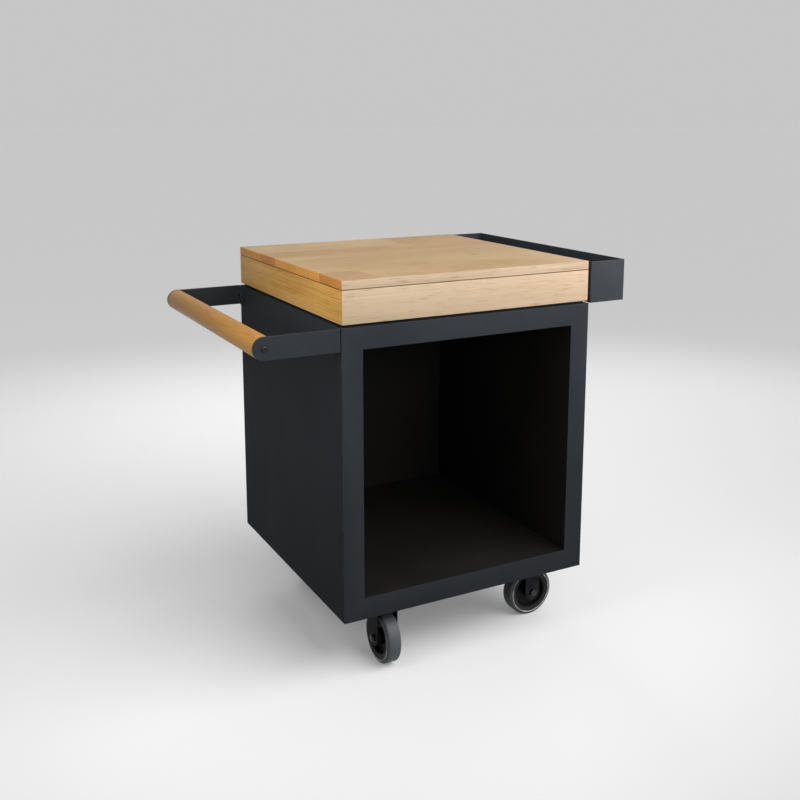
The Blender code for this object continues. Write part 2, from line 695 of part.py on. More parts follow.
def fork(name, parent, braked):
    """A pressed steel fork: one strip bent over the wheel, trimmed to its side view."""
    bend = FORK_BEND
    turn_left = arc((-FORK_HALF + bend, CROWN_TOP - bend), bend, 180, 90, 3)
    turn_right = arc((FORK_HALF - bend, CROWN_TOP - bend), bend, 90, 0, 3)
    low = AXLE_Z - LEG_END_RADIUS - 0.004
    strip = [(-FORK_HALF, low), *turn_left, *turn_right, (FORK_HALF, low)]
    bm = bmesh.new()
    first = [bm.verts.new((-0.040, y, z)) for y, z in strip]
    edges = [bm.edges.new(pair) for pair in zip(first, first[1:])]
    grown = bmesh.ops.extrude_edge_only(bm, edges=edges)["geom"]
    moved = [g for g in grown if isinstance(g, bmesh.types.BMVert)]
    bmesh.ops.translate(bm, verts=moved, vec=(0.140, 0, 0))
    crown_face = max(bm.faces, key=lambda f: f.calc_center_median().z)
    crown_face.normal_update()
    if crown_face.normal.z < 0:
        bmesh.ops.reverse_faces(bm, faces=bm.faces)
    made = link(bm_mesh(name, bm), name, BLACK_STEEL, parent)
    thicken(made, FORK_SHEET)
    trim = outline(name + "_side_view", [fork_outline(braked)], 0.1, None, parent, standing(0))
    combine(made, [trim], "INTERSECT")
    holes = [
        ((TRAIL, -0.05, AXLE_Z), (TRAIL, 0.05, AXLE_Z), AXLE_RADIUS + FIT),
        ((0, 0, CROWN_TOP - 0.02), (0, 0, 0.01), KING_PIN_RADIUS + FIT),
    ]
    if braked:
        px, pz = BRAKE_PIVOT
        holes.append(((px, -0.05, pz), (px, 0.05, pz), BRAKE_PIN_RADIUS + FIT))
    return drill(made, holes, 12)


def wheel(spot, axle):
    """Rim, tyre and hub sleeve, turned about the axle, which is the local Y axis of the fork."""
    across = Matrix.Rotation(math.radians(-90), 4, "X")
    rim, lip, dish = RIM_WIDTH / 2, RIM_RADIUS - 0.004, RIM_RADIUS - 0.0075
    bore = SLEEVE_RADIUS + FIT
    top = [(bore, HUB_LENGTH / 2), (HUB_RADIUS, HUB_LENGTH / 2), (HUB_RADIUS + 0.001, 0.006)]
    top += [(dish, 0.0045), (lip, rim), (RIM_RADIUS, rim)]
    bottom = [(r, -z) for r, z in reversed(top)]
    turned("wheel_rim_" + spot, top + bottom, BLACK_PLASTIC, axle, True, RIM_STEPS, across)
    seat = RIM_RADIUS + FIT
    shoulder = (WHEEL_RADIUS + SIDEWALL_RADIUS) / 2 + 0.0008
    half = [
        (seat, TYRE_WIDTH / 2 - 0.001),
        (SIDEWALL_RADIUS, TYRE_WIDTH / 2),
        (shoulder + 0.0006, (TYRE_WIDTH / 2 + TREAD_WIDTH / 2) / 2 + 0.0006),
        (WHEEL_RADIUS, TREAD_WIDTH / 2),
    ]
    tyre = half + [(r, -z) for r, z in reversed(half)]
    turned("tyre_" + spot, tyre, GREY_RUBBER, axle, True, place=across)
    end = SLEEVE_LENGTH / 2
    inner = AXLE_RADIUS + FIT
    sleeve = [(inner, end), (SLEEVE_RADIUS, end), (SLEEVE_RADIUS, -end), (inner, -end)]
    turned("hub_sleeve_" + spot, sleeve, ZINC, axle, True, 16, across)


def axle_bolt(name, parent):
    outside = FORK_HALF + SEAT
    place = ((TRAIL, -outside, AXLE_Z), (0, 1, 0), 2 * outside + AXLE_NUT * 1.25)
    return screw(name, place, (AXLE_RADIUS, *AXLE_HEAD), ZINC, parent, 6, (2 * outside, AXLE_NUT))


def brake_pedal(name, pivot):
    """A stamped foot lever on a pin through the fork's ears, with a lobe that nips the tyre."""
    px, pz = BRAKE_PIVOT
    toward = math.atan2(AXLE_Z - pz, TRAIL - px)
    lobe = toward + BRAKE_TRAVEL
    inside = LEG_GAP - 0.005
    bm = bmesh.new()
    rod_bmesh(bm, (0, -inside, 0), (0, inside, 0), 0.0052, 12)
    pedal = link(bm_mesh(name, bm), name, BLACK_STEEL, pivot)
    pin = bmesh.new()
    rod_bmesh(pin, (0, -FORK_HALF - 0.003, 0), (0, FORK_HALF + 0.003, 0), BRAKE_PIN_RADIUS, 12)
    pin_shape = link(bm_mesh(name + "_pin", pin), name + "_pin", None, pivot)
    tip = (math.cos(lobe) * BRAKE_LOBE, math.sin(lobe) * BRAKE_LOBE)
    across = (-math.sin(lobe) * 0.005, math.cos(lobe) * 0.005)
    shape = [(s * across[0], s * across[1]) for s in (1, -1)]
    shape += [(tip[0] + s * across[0] / 2, tip[1] + s * across[1] / 2) for s in (-1, 1)]
    cam = outline(name + "_lobe", [shape], 0.034, None, pivot, standing(0))
    tongue = [(0.0, 0.0035), (0.022, 0.0030), (0.046, -0.0060), (0.052, -0.0035), (0.053, -0.0060)]
    tongue += [(0.046, -0.0092), (0.021, -0.0004), (0.0, -0.0005)]
    plate = outline(name + "_tongue", [tongue], 0.038, None, pivot, standing(0))
    combine(pedal, [pin_shape, cam, plate], "UNION")
    return pedal


def build_casters():
    for spot, (side_x, side_y, heading) in CASTERS.items():
        cx, cy = caster_centre(side_x, side_y)
        head = empty("caster_" + spot, (cx, cy, FLOOR_Z), TABLE)
        caster_plate("caster_plate_" + spot, head)
        swivel = empty("swivel_" + spot, (0, 0, 0), head, math.radians(heading))
        braked = spot in BRAKED
        fork("fork_" + spot, swivel, braked)
        axle_bolt("axle_" + spot, swivel)
        axle = empty("roll_" + spot, (TRAIL, 0, AXLE_Z), swivel)
        wheel(spot, axle)
        if braked:
            pivot = empty("brake_" + spot, (BRAKE_PIVOT[0], 0, BRAKE_PIVOT[1]), swivel)
            brake_pedal("brake_pedal_" + spot, pivot)


clear_scene()
PARTS = collection("prep_table")
CUTTERS = collection("cutters")
TABLE = bpy.data.objects.new("table", None)
TABLE.location = (TABLE_X, 0, 0)
PARTS.objects.link(TABLE)
build_cabinet()
build_block()
build_board()
build_handle()
build_trough()
build_casters()
bpy.context.view_layer.update()
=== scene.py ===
import json
import math

import bpy
from mathutils import Matrix, Vector


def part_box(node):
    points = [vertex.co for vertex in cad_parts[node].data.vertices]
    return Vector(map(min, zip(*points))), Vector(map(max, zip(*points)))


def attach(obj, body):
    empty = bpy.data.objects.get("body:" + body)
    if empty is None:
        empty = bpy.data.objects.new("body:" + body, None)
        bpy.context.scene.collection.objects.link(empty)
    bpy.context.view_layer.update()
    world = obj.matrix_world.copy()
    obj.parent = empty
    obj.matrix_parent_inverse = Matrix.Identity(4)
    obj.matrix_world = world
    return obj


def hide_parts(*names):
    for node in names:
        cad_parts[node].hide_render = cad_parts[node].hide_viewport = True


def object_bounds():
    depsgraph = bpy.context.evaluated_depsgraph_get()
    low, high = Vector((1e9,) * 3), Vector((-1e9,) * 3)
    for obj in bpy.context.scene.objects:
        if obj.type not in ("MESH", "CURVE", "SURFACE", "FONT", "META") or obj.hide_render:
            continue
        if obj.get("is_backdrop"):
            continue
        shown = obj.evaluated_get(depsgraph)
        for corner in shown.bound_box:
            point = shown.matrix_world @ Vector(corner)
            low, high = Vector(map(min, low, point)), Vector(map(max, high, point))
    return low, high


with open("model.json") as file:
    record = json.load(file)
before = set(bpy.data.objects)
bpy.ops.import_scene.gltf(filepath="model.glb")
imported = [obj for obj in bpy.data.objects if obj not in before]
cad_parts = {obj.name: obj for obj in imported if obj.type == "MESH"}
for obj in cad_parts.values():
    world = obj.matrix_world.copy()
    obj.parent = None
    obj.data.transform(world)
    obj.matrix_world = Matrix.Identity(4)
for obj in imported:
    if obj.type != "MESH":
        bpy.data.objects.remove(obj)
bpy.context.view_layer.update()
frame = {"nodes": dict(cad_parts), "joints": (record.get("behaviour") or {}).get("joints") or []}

quarter = math.pi / 2
touch = 0.0001  # points closer than this lie in one place
print("frame loaded:", len(frame["nodes"]), "nodes")


# picking and placing

def deselectAll():
    if bpy.context.object and bpy.context.object.mode != "OBJECT":
        bpy.ops.object.mode_set(mode="OBJECT")
    bpy.ops.object.select_all(action="DESELECT")


def only(obj):
    deselectAll()
    obj.select_set(True)
    bpy.context.view_layer.objects.active = obj
    return obj


def freshEdit(obj, mode="FACE"):
    only(obj)
    bpy.ops.object.mode_set(mode="EDIT")
    bpy.ops.mesh.select_mode(type=mode)
    bpy.ops.mesh.select_all(action="DESELECT")


def pickParts(obj, mode, kind, test):
    bpy.ops.mesh.select_mode(type=mode)
    bpy.ops.mesh.select_all(action="DESELECT")
    bpy.ops.object.mode_set(mode="OBJECT")
    for part in getattr(obj.data, kind):
        part.select = bool(test(part))
    bpy.ops.object.mode_set(mode="EDIT")


def pickFaces(obj, test):
    pickParts(obj, "FACE", "polygons", test)


def pickVerts(obj, test):
    pickParts(obj, "VERT", "vertices", lambda vert: test(vert.co))


def pickEdges(obj, test):
    points = obj.data.vertices
    pickParts(obj, "EDGE", "edges", lambda edge: test(*(points[i].co for i in edge.vertices)))


def facing(direction, limit=0.9):
    way = Vector(direction)
    return lambda face: face.normal.dot(way) > limit


def applyPlace(obj):
    only(obj)
    bpy.ops.object.transform_apply(location=True, rotation=True, scale=True)
    return obj


def addBox(name, low, high):
    low, high = Vector(low), Vector(high)
    deselectAll()
    bpy.ops.mesh.primitive_cube_add(size=1, location=(low + high) / 2)
    box = bpy.context.object
    box.name = name
    box.dimensions = high - low
    return applyPlace(box)


def addRod(name, centre, radius, depth, axis="Z", sides=64):
    turn = {"X": (0, quarter, 0), "Y": (quarter, 0, 0), "Z": (0, 0, 0)}[axis]
    deselectAll()
    bpy.ops.mesh.primitive_cylinder_add(
        vertices=sides, radius=radius, depth=depth, location=centre, rotation=turn)
    rod = bpy.context.object
    rod.name = name
    return applyPlace(rod)


def useModifier(obj, kind, **settings):
    only(obj)
    made = obj.modifiers.new(kind.lower(), kind)
    for key, value in settings.items():
        setattr(made, key, value)
    bpy.ops.object.modifier_apply(modifier=made.name)
    return obj


def roundEdges(obj, width, segments=2, angle=35):
    return useModifier(obj, "BEVEL", width=width, segments=segments, limit_method="ANGLE",
                       angle_limit=math.radians(angle), use_clamp_overlap=True)


def cut(obj, other, operation="DIFFERENCE"):
    useModifier(obj, "BOOLEAN", object=other, operation=operation, solver="EXACT")
    bpy.data.objects.remove(other)
    return obj


def tidyMesh(obj, angle=35):
    freshEdit(obj, "VERT")
    bpy.ops.mesh.select_all(action="SELECT")
    bpy.ops.mesh.remove_doubles(threshold=0.00002)
    bpy.ops.mesh.normals_make_consistent(inside=False)
    bpy.ops.object.mode_set(mode="OBJECT")
    bpy.ops.object.shade_smooth_by_angle(angle=math.radians(angle))
    return obj


def roundedRod(name, centre, size, axis, sides, rounding=0.0, segments=3, smooth=35):
    radius, depth = size
    rod = addRod(name, centre, radius, depth, axis, sides)
    if rounding:
        roundEdges(rod, rounding, segments)
    return tidyMesh(rod, smooth)


def copyPiece(obj, name, place):
    new = bpy.data.objects.new(name, obj.data.copy())
    bpy.context.scene.collection.objects.link(new)
    new.data.transform(place)
    return new


def keepNodes(names, material):
    # CAD nodes whose shape is right get a better finish
    for name in names:
        materials = frame["nodes"][name].data.materials
        materials.clear()
        materials.append(material)


def finished(obj, material, body, slot, *nodes):
    obj.data.materials.clear()
    obj.data.materials.append(material)
    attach(obj, body)
    if nodes:
        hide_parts(*nodes)
    return obj


def markFaces(obj, name, value):
    store = obj.data.attributes.new(name, "FLOAT", "FACE")
    store.data.foreach_set("value", [float(value(face)) for face in obj.data.polygons])


# narrow bevel faces are marked for rubbed paint and for the painted edge highlight
def markEdges(obj, width):
    points = obj.data.vertices

    def narrow(face):
        ends = [points[i].co for i in face.vertices]
        return min((a - b).length for a, b in zip(ends, ends[1:] + ends[:1])) < width

    markFaces(obj, "edgeMask", narrow)


# shader building blocks

def newGroup(name, inputs, outputs):
    tree = bpy.data.node_groups.new(name, "ShaderNodeTree")
    for label, kind, value in inputs:
        made = tree.interface.new_socket(name=label, in_out="INPUT", socket_type="NodeSocket" + kind)
        if value is not None:
            made.default_value = value
    for label, kind in outputs:
        tree.interface.new_socket(name=label, in_out="OUTPUT", socket_type="NodeSocket" + kind)
    return tree, tree.nodes.new("NodeGroupInput"), tree.nodes.new("NodeGroupOutput")


def addNode(tree, kind, values=(), **settings):
    made = tree.nodes.new("ShaderNode" + kind)
    for key, value in settings.items():
        setattr(made, key, value)
    for key, value in dict(values).items():
        made.inputs[key].default_value = value
    return made


def addMath(tree, operation, first, second=None):
    made = addNode(tree, "Math", operation=operation)
    for place, value in enumerate((first, second)):
        if isinstance(value, (int, float)):
            made.inputs[place].default_value = value
        elif value is not None:
            tree.links.new(value, made.inputs[place])
    return made.outputs[0]


def addVector(tree, operation, first, second):
    made = addNode(tree, "VectorMath", operation=operation)
    tree.links.new(first, made.inputs[0])
    if isinstance(second, tuple):
        made.inputs[1].default_value = second
    elif isinstance(second, float):
        made.inputs["Scale"].default_value = second
    else:
        tree.links.new(second, made.inputs[1])
    return made.outputs[0]


def mixColour(tree, factor, first, second, blend="MIX"):
    made = addNode(tree, "Mix", data_type="RGBA", blend_type=blend)
    for label, value in (("Factor", factor), ("A", first), ("B", second)):
        kind = "VALUE" if label == "Factor" else "RGBA"
        target = [s for s in made.inputs if s.name == label and s.type == kind][0]
        if isinstance(value, (tuple, float, int)):
            target.default_value = value
        else:
            tree.links.new(value, target)
    return [s for s in made.outputs if s.type == "RGBA"][0]


def ramp(tree, factor, stops):
    made = addNode(tree, "ValToRGB")
    points = made.color_ramp.elements
    while len(points) < len(stops):
        points.new(0.5)
    for point, (place, colour) in zip(points, stops):
        point.position = place
        point.color = (*colour, 1) if isinstance(colour, tuple) else (colour, colour, colour, 1)
    tree.links.new(factor, made.inputs["Fac"])
    return made.outputs["Color"]


def spread(tree, value, low, high):
    made = addNode(tree, "MapRange", {"From Min": 0.3, "From Max": 0.7, "To Min": low, "To Max": high})
    tree.links.new(value, made.inputs["Value"])
    return made.outputs["Result"]


def noise(tree, vector, scale, detail=3.0, roughness=0.55, stretch=None):
    if stretch:
        vector = addVector(tree, "MULTIPLY", vector, stretch)
    made = addNode(tree, "TexNoise", {"Detail": detail, "Roughness": roughness})
    tree.links.new(vector, made.inputs["Vector"])
    if isinstance(scale, float):
        made.inputs["Scale"].default_value = scale
    else:
        tree.links.new(scale, made.inputs["Scale"])
    return made.outputs["Fac"]


# noise scales of the marks on a coat, and how strongly they show
coatMarks = {"mottle": 4.5, "smudge": 11.0, "scuff": 85.0, "wear": 60.0,
             "scuffPale": 0.25, "scuffRough": 0.06, "smudgeGloss": 0.04}
# noise scales of the wood's figure, how far its rings wander, and how strongly each part shows
woodFigure = {"ringWidth": 0.0042, "streaks": 150.0, "pores": 420.0, "patches": 9.0,
              "slowWander": 0.040, "quickWander": 0.008, "toneStops": (0.34, 0.50, 0.66),
              "ringShare": 0.13, "streakShare": 0.50, "patchShare": 0.35, "knotShare": 0.6,
              "specular": 0.22, "wear": 0.30, "reliefShare": 0.5, "relief": 0.00010}


def makeCoat():
    # fine grit, broad mottling, smudges and small scuffs of a coated surface
    tree, source, sink = newGroup(
        "coatDetail", [("Vector", "Vector", None), ("Grit Scale", "Float", 900.0)],
        [("Grit", "Float"), ("Mottle", "Float"), ("Smudge", "Float"), ("Scuff", "Float")])
    place = source.outputs["Vector"]
    tree.links.new(noise(tree, place, source.outputs["Grit Scale"], 2.0), sink.inputs["Grit"])
    tree.links.new(noise(tree, place, coatMarks["mottle"], 4.0), sink.inputs["Mottle"])
    smudge = noise(tree, place, coatMarks["smudge"], 5.0, 0.6, (1.0, 1.0, 0.45))
    tree.links.new(ramp(tree, smudge, [(0.46, 0.0), (0.66, 1.0)]), sink.inputs["Smudge"])
    scuff = noise(tree, place, coatMarks["scuff"], 6.0, 0.7, (0.25, 0.25, 1.0))
    tree.links.new(ramp(tree, scuff, [(0.66, 0.0), (0.72, 1.0)]), sink.inputs["Scuff"])
    return tree


def makeWearAndHighlight():
    # broken lighter line along edges: rubbed paint, and painted highlight where edges would catch the light
    tree, source, sink = newGroup(
        "edgeWear", [("Vector", "Vector", None), ("Edge", "Float", 0.0), ("Amount", "Float", 0.5)],
        [("Wear", "Float")])
    broken = noise(tree, source.outputs["Vector"], coatMarks["wear"], 5.0, 0.65)
    broken = ramp(tree, broken, [(0.40, 0.15), (0.62, 1.0)])
    wear = addMath(tree, "MULTIPLY", broken, source.outputs["Edge"])
    wear = addMath(tree, "MULTIPLY", wear, source.outputs["Amount"])
    tree.links.new(wear, sink.inputs["Wear"])
    return tree


def makeGrain():
    # the grain runs along x, and the pith lies on the x axis
    tree, source, sink = newGroup(
        "woodGrain", [("Vector", "Vector", None), ("Ring Width", "Float", woodFigure["ringWidth"])],
        [("Rings", "Float"), ("Streaks", "Float"), ("Pores", "Float"), ("Patches", "Float")])
    place = source.outputs["Vector"]
    split = addNode(tree, "SeparateXYZ")
    tree.links.new(place, split.inputs["Vector"])
    radius = addMath(tree, "SQRT", addMath(tree, "ADD", addMath(tree, "POWER", split.outputs["Y"], 2.0),
                                           addMath(tree, "POWER", split.outputs["Z"], 2.0)))
    # the trunk isn't straight, so the rings wander along the stave
    slow = noise(tree, place, 2.6, 1.0, 0.5, (0.8, 0.5, 0.5))
    quick = noise(tree, place, 26.0, 3.0, 0.55, (0.12, 1.0, 1.0))
    radius = addMath(tree, "ADD", radius, addMath(tree, "MULTIPLY", slow, woodFigure["slowWander"]))
    radius = addMath(tree, "ADD", radius, addMath(tree, "MULTIPLY", quick, woodFigure["quickWander"]))
    ring = addMath(tree, "FRACT", addMath(tree, "DIVIDE", radius, source.outputs["Ring Width"]))
    rings = ramp(tree, ring, [(0.0, 0.75), (0.30, 1.0), (0.78, 0.42), (0.97, 0.0), (1.0, 0.75)])
    tree.links.new(rings, sink.inputs["Rings"])
    streaks = noise(tree, place, woodFigure["streaks"], 4.0, 0.6, (0.022, 1.0, 1.0))
    tree.links.new(streaks, sink.inputs["Streaks"])
    pores = noise(tree, place, woodFigure["pores"], 2.0, 0.5, (0.055, 1.0, 1.0))
    tree.links.new(ramp(tree, pores, [(0.60, 0.0), (0.70, 1.0)]), sink.inputs["Pores"])
    patches = noise(tree, place, woodFigure["patches"], 3.0, 0.5, (0.35, 1.0, 1.0))
    tree.links.new(patches, sink.inputs["Patches"])
    return tree


coatDetail, edgeWear, woodGrain = makeCoat(), makeWearAndHighlight(), makeGrain()


def newMaterial(name, roughness, metallic=0.0, specular=0.5):
    material = bpy.data.materials.new(name)
    material.use_nodes = True
    tree = material.node_tree
    shader = tree.nodes["Principled BSDF"]
    shader.inputs["Roughness"].default_value = roughness
    shader.inputs["Metallic"].default_value = metallic
    shader.inputs["Specular IOR Level"].default_value = specular
    return material, tree, shader


def objectPlace(tree):
    return addNode(tree, "TexCoord").outputs["Object"]


def faceMark(tree, name, kind="Fac"):
    return addNode(tree, "Attribute", attribute_name=name).outputs[kind]


def addGroup(tree, group, vector, values=()):
    made = addNode(tree, "Group", node_tree=group)
    tree.links.new(vector, made.inputs["Vector"])
    for key, value in dict(values).items():
        if isinstance(value, float):
            made.inputs[key].default_value = value
        else:
            tree.links.new(value, made.inputs[key])
    return made.outputs


def addBump(tree, shader, height, distance, strength=1.0):
    bump = addNode(tree, "Bump", {"Strength": strength, "Distance": distance})
    tree.links.new(height, bump.inputs["Height"])
    tree.links.new(bump.outputs["Normal"], shader.inputs["Normal"])


def coatedFinish(name, colour, mottled, worn, roughness, gritScale=1100.0, gritHeight=0.00006,
                 metallic=0.0, specular=0.35, wearAndHighlightAmount=0.5, side=None):
    material, tree, shader = newMaterial(name, roughness[0], metallic, specular)
    place = objectPlace(tree)
    coat = addGroup(tree, coatDetail, place, {"Grit Scale": gritScale})
    edge = faceMark(tree, "edgeMask")
    wear = addGroup(tree, edgeWear, place, {"Edge": edge, "Amount": wearAndHighlightAmount})["Wear"]
    base = mixColour(tree, spread(tree, coat["Mottle"], 0.0, 1.0), (*colour, 1), (*mottled, 1))
    # an optional painted shade colour on faces marked as recessed sidewall
    if side:
        base = mixColour(tree, faceMark(tree, "sideMask"), base, (*side, 1))
    grit = ramp(tree, coat["Grit"], [(0.35, 0.84), (0.65, 1.14)])
    base = mixColour(tree, 1.0, base, grit, "MULTIPLY")
    pale = addMath(tree, "MULTIPLY", coat["Scuff"], coatMarks["scuffPale"])
    base = mixColour(tree, pale, base, (*worn, 1))
    tree.links.new(mixColour(tree, wear, base, (*worn, 1)), shader.inputs["Base Color"])
    rough = addMath(tree, "SUBTRACT", spread(tree, coat["Mottle"], *roughness),
                    addMath(tree, "MULTIPLY", coat["Smudge"], coatMarks["smudgeGloss"]))
    rough = addMath(tree, "ADD", rough, addMath(tree, "MULTIPLY", coat["Scuff"], coatMarks["scuffRough"]))
    tree.links.new(rough, shader.inputs["Roughness"])
    addBump(tree, shader, coat["Grit"], gritHeight)
    return material


def woodFinish(name, turned, tones, roughness=(0.42, 0.56), poreDepth=0.45, knot=None):
    look = woodFigure
    material, tree, shader = newMaterial(name, roughness[0], 0.0, look["specular"])
    place = objectPlace(tree)
    pith, tint = faceMark(tree, "stavePith", "Vector"), faceMark(tree, "staveTint", "Vector")
    vector = addVector(tree, "SUBTRACT", place, pith)
    if knot:  # the grain swells round a small knot
        near = addVector(tree, "MULTIPLY", addVector(tree, "SUBTRACT", place, knot["place"]), knot["size"])
        gap = addNode(tree, "VectorMath", operation="LENGTH")
        tree.links.new(near, gap.inputs[0])
        swell = ramp(tree, gap.outputs["Value"], [(0.0, 1.0), (0.35, 0.55), (1.0, 0.0)])
        heart = ramp(tree, gap.outputs["Value"], [(0.10, 1.0), (0.32, 0.0)])
        push = addNode(tree, "VectorMath", {0: knot["push"]}, operation="SCALE")
        tree.links.new(swell, push.inputs["Scale"])
        vector = addVector(tree, "ADD", vector, push.outputs[0])
    aim = addNode(tree, "Mapping", {"Rotation": turned})
    tree.links.new(vector, aim.inputs["Vector"])
    grain = addGroup(tree, woodGrain, aim.outputs["Vector"], {"Ring Width": look["ringWidth"]})
    figure = addMath(tree, "ADD", addMath(tree, "MULTIPLY", grain["Rings"], look["ringShare"]),
                     addMath(tree, "MULTIPLY", grain["Streaks"], look["streakShare"]))
    figure = addMath(tree, "ADD", figure, addMath(tree, "MULTIPLY", grain["Patches"], look["patchShare"]))
    stops = zip(look["toneStops"], (tones["dark"], tones["middle"], tones["light"]))
    colour = ramp(tree, figure, list(stops))
    pores = addMath(tree, "MULTIPLY", grain["Pores"], poreDepth)
    colour = mixColour(tree, pores, colour, (*tones["pore"], 1))
    if knot:
        heart = addMath(tree, "MULTIPLY", heart, look["knotShare"])
        colour = mixColour(tree, heart, colour, (*tones["pore"], 1))
    colour = mixColour(tree, 1.0, colour, addVector(tree, "ADD", tint, (1.0, 1.0, 1.0)), "MULTIPLY")
    edge = faceMark(tree, "edgeMask")
    wear = addGroup(tree, edgeWear, place, {"Edge": edge, "Amount": look["wear"]})["Wear"]
    tree.links.new(mixColour(tree, wear, colour, (*tones["worn"], 1)), shader.inputs["Base Color"])
    tree.links.new(spread(tree, grain["Streaks"], *roughness), shader.inputs["Roughness"])
    relief = addMath(tree, "MULTIPLY", figure, look["reliefShare"])
    relief = addMath(tree, "SUBTRACT", relief, grain["Pores"])
    addBump(tree, shader, relief, look["relief"], 0.8)
    return material


boardTones = {"dark": (0.38, 0.228, 0.094), "middle": (0.490, 0.318, 0.149), "light": (0.552, 0.375, 0.186),
              "pore": (0.25, 0.120, 0.045), "worn": (0.60, 0.42, 0.24)}
# the block's front and back boards and its side boards are one wood in lit and shaded copies: painted light,
# paler on the front and back, saturated orange on the sides
frontPaintedLightTones = {"dark": (0.47, 0.337, 0.214), "middle": (0.537, 0.396, 0.264), "light": (0.580, 0.438, 0.302),
              "pore": (0.27, 0.16, 0.075), "worn": (0.60, 0.46, 0.32)}
sidePaintedLightTones = {"dark": (0.44, 0.205, 0.036), "middle": (0.66, 0.355, 0.078), "light": (0.78, 0.475, 0.135),
             "pore": (0.32, 0.135, 0.024), "worn": (0.74, 0.46, 0.15)}
barTones = {"dark": (0.315, 0.140, 0.026), "middle": (0.395, 0.192, 0.034), "light": (0.455, 0.240, 0.050),
            "pore": (0.28, 0.110, 0.020), "worn": (0.60, 0.33, 0.09)}

# each coat: its colour, its mottled colour and its colour for worn and highlighted edges, the least and most
# roughness
powderCoat = coatedFinish(
    "powder coat", (0.0285, 0.0320, 0.0370), (0.0350, 0.0385, 0.0435), (0.090, 0.095, 0.10),
    (0.56, 0.68), specular=0.015)
# the trough carries the same powder coat, painted lighter as if more light fell on it
troughPaintedLightCoat = coatedFinish(
    "trough coat", (0.0430, 0.0485, 0.0560), (0.0510, 0.0565, 0.0640), (0.12, 0.125, 0.13),
    (0.54, 0.66), specular=0.03)
linerCoat = coatedFinish(
    "liner coat", (0.009, 0.008, 0.007), (0.013, 0.011, 0.010), (0.035, 0.033, 0.03),
    (0.58, 0.70), specular=0.15)
casterCoat = coatedFinish(
    "caster coat", (0.007, 0.0075, 0.009), (0.011, 0.0115, 0.0135), (0.07, 0.07, 0.075),
    (0.46, 0.58), gritScale=700.0, gritHeight=0.00003, specular=0.06)
rimCoat = coatedFinish(
    "wheel moulding", (0.004, 0.004, 0.005), (0.007, 0.007, 0.008), (0.04, 0.04, 0.04),
    (0.30, 0.42), gritScale=500.0, gritHeight=0.00002, specular=0.10)
# the rubber's near-white edge colour is a painted highlight on the tyre's ridge, and its near-black side
# colour is painted shade on the recessed sidewall
rubber = coatedFinish(
    "grey rubber", (0.082, 0.091, 0.097), (0.108, 0.118, 0.125), (0.85, 0.86, 0.87),
    (0.40, 0.56), gritScale=420.0, gritHeight=0.00007, specular=0.25, wearAndHighlightAmount=1.0,
    side=(0.012, 0.013, 0.014))
boltSteel = coatedFinish(
    "blackened bolts", (0.026, 0.026, 0.029), (0.048, 0.048, 0.052), (0.45, 0.45, 0.46),
    (0.13, 0.24), gritScale=1500.0, gritHeight=0.00001, metallic=1.0, specular=0.5)
# the knot: how tight it is along each axis, and how far it pushes the grain aside
boardKnot = {"place": (0.190, -0.095, 0.915), "size": (18.0, 32.0, 10.0), "push": (0, 0.016, 0)}
boardWood = woodFinish("board wood", (0, 0, 0), boardTones, knot=boardKnot)
# painted light: the front and back boards get a paler copy of the wood, the side boards a warm orange one
frontPaintedLightWood = woodFinish("front and back board wood", (-quarter, 0, 0), frontPaintedLightTones)
sidePaintedLightWood = woodFinish("side board wood", (-quarter, -quarter, 0), sidePaintedLightTones)
barWood = woodFinish("bar wood", (0, 0, -quarter), barTones, (0.36, 0.48), 0.35)
print("materials made")


# cabinet

low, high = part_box("left_side_panel")
cabinetLeft, cabinetFloor, cabinetTop = low.x, low.z, high.z
low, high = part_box("right_side_panel")
cabinetRight, cabinetBack = high.x, high.y
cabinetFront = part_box("front_frame")[0].y
middleX = (cabinetLeft + cabinetRight) / 2

frameSizes = {"border": 0.050, "thickness": 0.0023, "edge": 0.0007}


def buildFrontFrame(sizes):
    plate = addBox("cabinetFrontFrame", (cabinetLeft, cabinetFront, cabinetFloor),
                   (cabinetRight, cabinetFront + sizes["thickness"], cabinetTop))
    wide, tall, border = cabinetRight - cabinetLeft, cabinetTop - cabinetFloor, sizes["border"]
    opening = (wide - 2 * border) * (tall - 2 * border)
    freshEdit(plate)
    for way in ((0, -1, 0), (0, 1, 0)):
        pickFaces(plate, lambda f, w=Vector(way): f.normal.dot(w) > 0.9 and f.area > 0.95 * wide * tall)
        bpy.ops.mesh.inset(thickness=border, depth=0)
    pickFaces(plate, lambda f: abs(f.normal.y) > 0.9 and abs(f.area / opening - 1) < 0.05)
    bpy.ops.mesh.bridge_edge_loops()
    roundEdges(plate, sizes["edge"], 3)
    tidyMesh(plate)
    markEdges(plate, sizes["edge"] * 0.7)
    finished(plate, powderCoat, "table", "powder_coat", "front_frame")


buildFrontFrame(frameSizes)

panelSizes = {"sheet": 0.002, "flange": 0.020, "bend": 0.0028, "edge": 0.0003, "narrow": 0.00045}


def buildSidePanel(name, node, side, sizes):
    low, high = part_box(node)
    panel = addBox(name, low, high)
    # only the outer skin and its flanges stay, and then get their thickness
    freshEdit(panel)
    pickFaces(panel, lambda f: f.normal.x * side < -0.9 or abs(f.normal.z) > 0.9)
    bpy.ops.mesh.delete(type="FACE")
    outer = low.x if side < 0 else high.x
    pickEdges(panel, lambda a, b: all(p.y > high.y - touch and abs(p.x - outer) < touch for p in (a, b)))
    bpy.ops.mesh.bevel(offset=sizes["bend"], segments=5, affect="EDGES")
    bpy.ops.object.mode_set(mode="OBJECT")
    useModifier(panel, "SOLIDIFY", thickness=sizes["sheet"], offset=-1, use_even_offset=True)
    roundEdges(panel, sizes["edge"], 1)
    tidyMesh(panel)
    markEdges(panel, sizes["narrow"])
    finished(panel, powderCoat, "table", "powder_coat", node)


